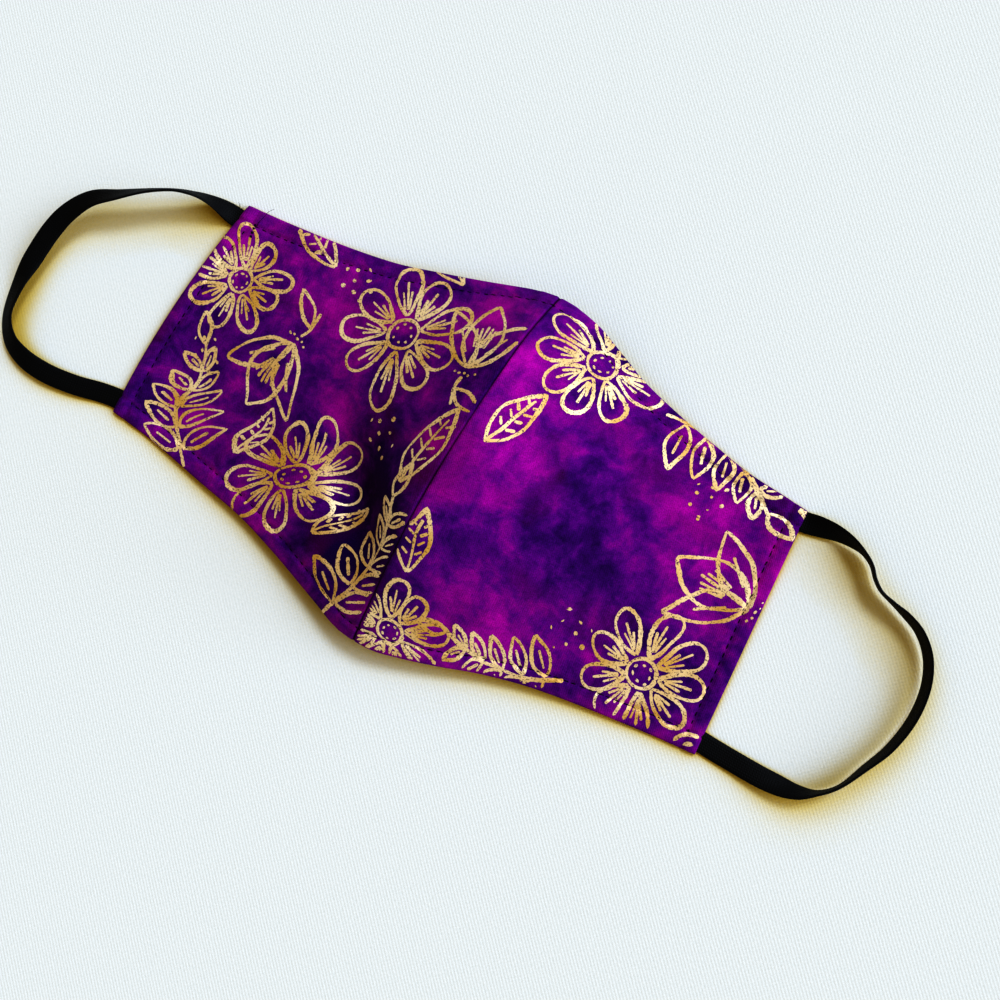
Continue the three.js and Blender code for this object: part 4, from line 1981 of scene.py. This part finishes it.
@dataclass
class LoopCorner:
    """Tack, thread tail and loose fibres where the left loop is sewn in."""

    shape: PanelShape
    tack_from_hem: float = 4.6
    tack_length: float = 4.0
    tail_radius: float = 0.09
    fibre_radius: float = 0.05
    fibres: int = 9
    seed: int = 5

    def build(self, thread: bpy.types.Material, elastic: bpy.types.Material) -> list[bpy.types.Object]:
        """Build the three small pieces and dress them.

        Args:
            thread: the stitches' material.
            elastic: the loop's material.

        Returns:
            The tack, the tail and the fibres.
        """
        tack = self.tack(thread)
        tail = add_object("thread_tail", self.tail())
        fray = add_object("elastic_fray", self.fray())
        dress(tack, thread, "thread")
        dress(tail, thread, "thread")
        dress(fray, elastic, "elastic")
        return [tack, tail, fray]

    def nose_corner(self) -> tuple[float, float]:
        """Distances of the nose corner from the seam and from the panel's middle, in mm."""
        return self.shape.full_width.mean(axis=0)[-1], self.shape.full_length[-1, 0] / 2

    def tack(self, thread: bpy.types.Material) -> bpy.types.Object:
        """Dense back-and-forth stitches beside the hem at the nose corner.

        Args:
            thread: the stitches' material.

        Returns:
            The piece.
        """
        rows = np.linspace(0, self.tack_length, 8)
        lines = []
        width, half = self.nose_corner()
        for aside in (-0.2, 0.2):
            v = half - self.shape.stitch_inset_edge + 1.0 - rows
            u = np.full_like(v, width - self.tack_from_hem + aside)
            places = self.shape.on_cloth(u, v, 0.12)
            lifted = self.shape.on_cloth(u, v, 1.12)
            lines.append((places, lifted - places))
        stitcher = Stitcher(thread, pitch=1.2, length=1.0, width=0.4, height=0.22, unevenness=0.16)
        return stitcher.sew("corner_tack", lines)

    def tail(self) -> bpy.types.Mesh:
        """Loose end of thread that sticks out past the corner.

        Returns:
            The mesh.
        """
        width, half = self.nose_corner()
        at = self.shape.on_cloth(np.array([width - 5.2]), np.array([half - 4.6]), 0.1)[0]
        steps = np.array([[0, 0, 0], [0.4, 1.6, 0.7], [1.2, 3.4, 1.2], [1.6, 5.4, 1.3], [2.7, 7.2, 0.9]])
        return tube("thread_tail", smooth_route(at + steps, 6), self.tail_radius)

    def fray(self) -> bpy.types.Mesh:
        """Short fibres that stand off the elastic beside the hem.

        Returns:
            The mesh.
        """
        random = np.random.default_rng(self.seed)
        hem = LOOP_ROUTE[Side.LEFT][0]
        base = np.array([hem.x, hem.y, hem.z]) + self.shape.shift
        points, faces, start = [], [], 0
        for k in range(self.fibres):
            aside = random.uniform(-1.6, 0.6)
            noseward = 3.0 + random.uniform(-0.4, 0.2)
            root = base + (aside, noseward, random.uniform(0.2, 0.6))
            lean = random.uniform(-0.9, 0.9)
            reach = random.uniform(0.8, 2.0)
            middle = [0.3 * lean, 0.45, 0.1]
            tip = [0.8 * lean, 0.85, 0.2 * lean + 0.2]
            steps = np.array([[0, 0, 0], middle, tip]) * reach
            ring, links = tube_parts(smooth_route(root + steps, 4), self.fibre_radius, 0.4, 6)
            points.append(ring)
            faces.append(links + start)
            start += len(ring)
        return mesh_from_arrays("elastic_fray", np.concatenate(points), np.concatenate(faces))


def dress(piece: bpy.types.Object, material: bpy.types.Material, slot: str) -> None:
    """Give a piece its material and let it ride.

    Args:
        piece: the piece.
        material: its material.
        slot: not used.
    """
    piece.data.materials.clear()
    piece.data.materials.append(material)
    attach(piece, ROOT_BODY)


@dataclass(frozen=True)
class WindowLight:
    """Broad light from one side: way it comes from, height in degrees, power and colour."""

    name: str
    comes_from: tuple[float, float]
    height: float
    power: float
    spread: float
    colour: tuple[float, float, float]

    def build(self) -> None:
        """Add the light to the scene."""
        light = bpy.data.lights.new(self.name, "SUN")
        light.energy = self.power
        light.color = self.colour
        light.angle = math.radians(self.spread)
        lamp = bpy.data.objects.new(self.name, light)
        height = math.radians(self.height)
        x, y = self.comes_from
        reach = math.cos(height) / math.hypot(x, y)
        way = Vector((x * reach, y * reach, math.sin(height)))
        lamp.rotation_mode = "QUATERNION"
        lamp.rotation_quaternion = way.to_track_quat("Z", "Y")
        bpy.context.scene.collection.objects.link(lamp)


@dataclass(frozen=True)
class Studio:
    """Table, light and camera that match the photograph's angle and mood."""

    camera_at: tuple[float, float, float] = (0.06790, -0.01136, 0.34650)
    camera_aim: tuple[float, float, float] = (0.01859, -0.00118, 0.0)
    picture_up: tuple[float, float, float] = (-0.5016, 0.8651, 0.0)
    lens: float = 41.4
    sensor_width: float = 36.0
    nearest_view: float = 0.01
    sky_colour: tuple[float, float, float] = (1.0, 0.75, 0.3)
    sky_power: float = 0.25
    table_size: float = 3.0
    table_top: float = -0.00004
    lights: tuple[WindowLight, ...] = (
        WindowLight("window_above", (0.24, 0.97), 54.0, power=1.2, spread=16.0, colour=(0.69, 0.81, 1.0)),
        WindowLight("window_right", (0.92, 0.38), 30.0, power=1.9, spread=50.0, colour=(0.73, 0.83, 1.0)),
    )

    def build(self) -> None:
        """Build the table, the light and the camera."""
        scene = bpy.context.scene
        scene.view_settings.view_transform = "Standard"
        scene.view_settings.look = "High Contrast"
        half, top = self.table_size / 2, self.table_top
        turns = ((-1, -1), (1, -1), (1, 1), (-1, 1))
        corners = np.array([[x * half, y * half, top] for x, y in turns]) / MM
        table = add_object("table", mesh_from_arrays("table", corners, np.array([[0, 1, 2, 3]])))
        table.data.materials.append(PaleTable().make())
        world = bpy.data.worlds.new("soft_room")
        world.use_nodes = True
        sky = world.node_tree.nodes["Background"]
        sky.inputs["Color"].default_value = (*self.sky_colour, 1.0)
        sky.inputs["Strength"].default_value = self.sky_power
        scene.world = world
        for light in self.lights:
            light.build()
        self.add_camera()

    def add_camera(self) -> None:
        """Add the camera at the photograph's angle."""
        camera = bpy.data.objects.new("camera", bpy.data.cameras.new("camera"))
        camera.data.lens = self.lens
        camera.data.sensor_width = self.sensor_width
        camera.data.clip_start = self.nearest_view
        ahead = (Vector(self.camera_aim) - Vector(self.camera_at)).normalized()
        right = ahead.cross(Vector(self.picture_up)).normalized()
        up = right.cross(ahead)
        turn = Matrix((right, up, -ahead)).transposed().to_4x4()
        camera.matrix_world = Matrix.Translation(self.camera_at) @ turn
        bpy.context.scene.collection.objects.link(camera)
        bpy.context.scene.camera = camera


def main() -> None:
    """Build the mask's pieces in order, then the table, the light and the camera."""
    logging.basicConfig(level=logging.INFO, format="%(name)s: %(message)s")
    Studio().build()
    shift = frame_shift()
    foil, elastic, thread = GoldFoil().make(), BlackElastic().make(), SewingThread().make()
    cottons = {
        Side.LEFT: DyedCotton("cotton_left", (0.137, 0.052, 0.0), DYE_AND_SHADE_POOLS[Side.LEFT]).make(),
        Side.RIGHT: DyedCotton("cotton_right", (0.611, 0.305, 0.0), DYE_AND_SHADE_POOLS[Side.RIGHT]).make(),
    }
    pieces: list[bpy.types.Object] = []
    for side in Side:
        half = ClothHalf(side, shift)
        pieces += half.build(cottons[side], foil, thread)
        loop = ElasticLoop(side, shift).build()
        dress(loop, elastic, "elastic")
        pieces.append(loop)
        if side is Side.LEFT:
            pieces += LoopCorner(half.shape).build(thread, elastic)
    for piece in pieces:
        LOG.info("%s: %d triangles", piece.name, sum(len(p.vertices) - 2 for p in piece.data.polygons))


if __name__ == "__main__":
    main()
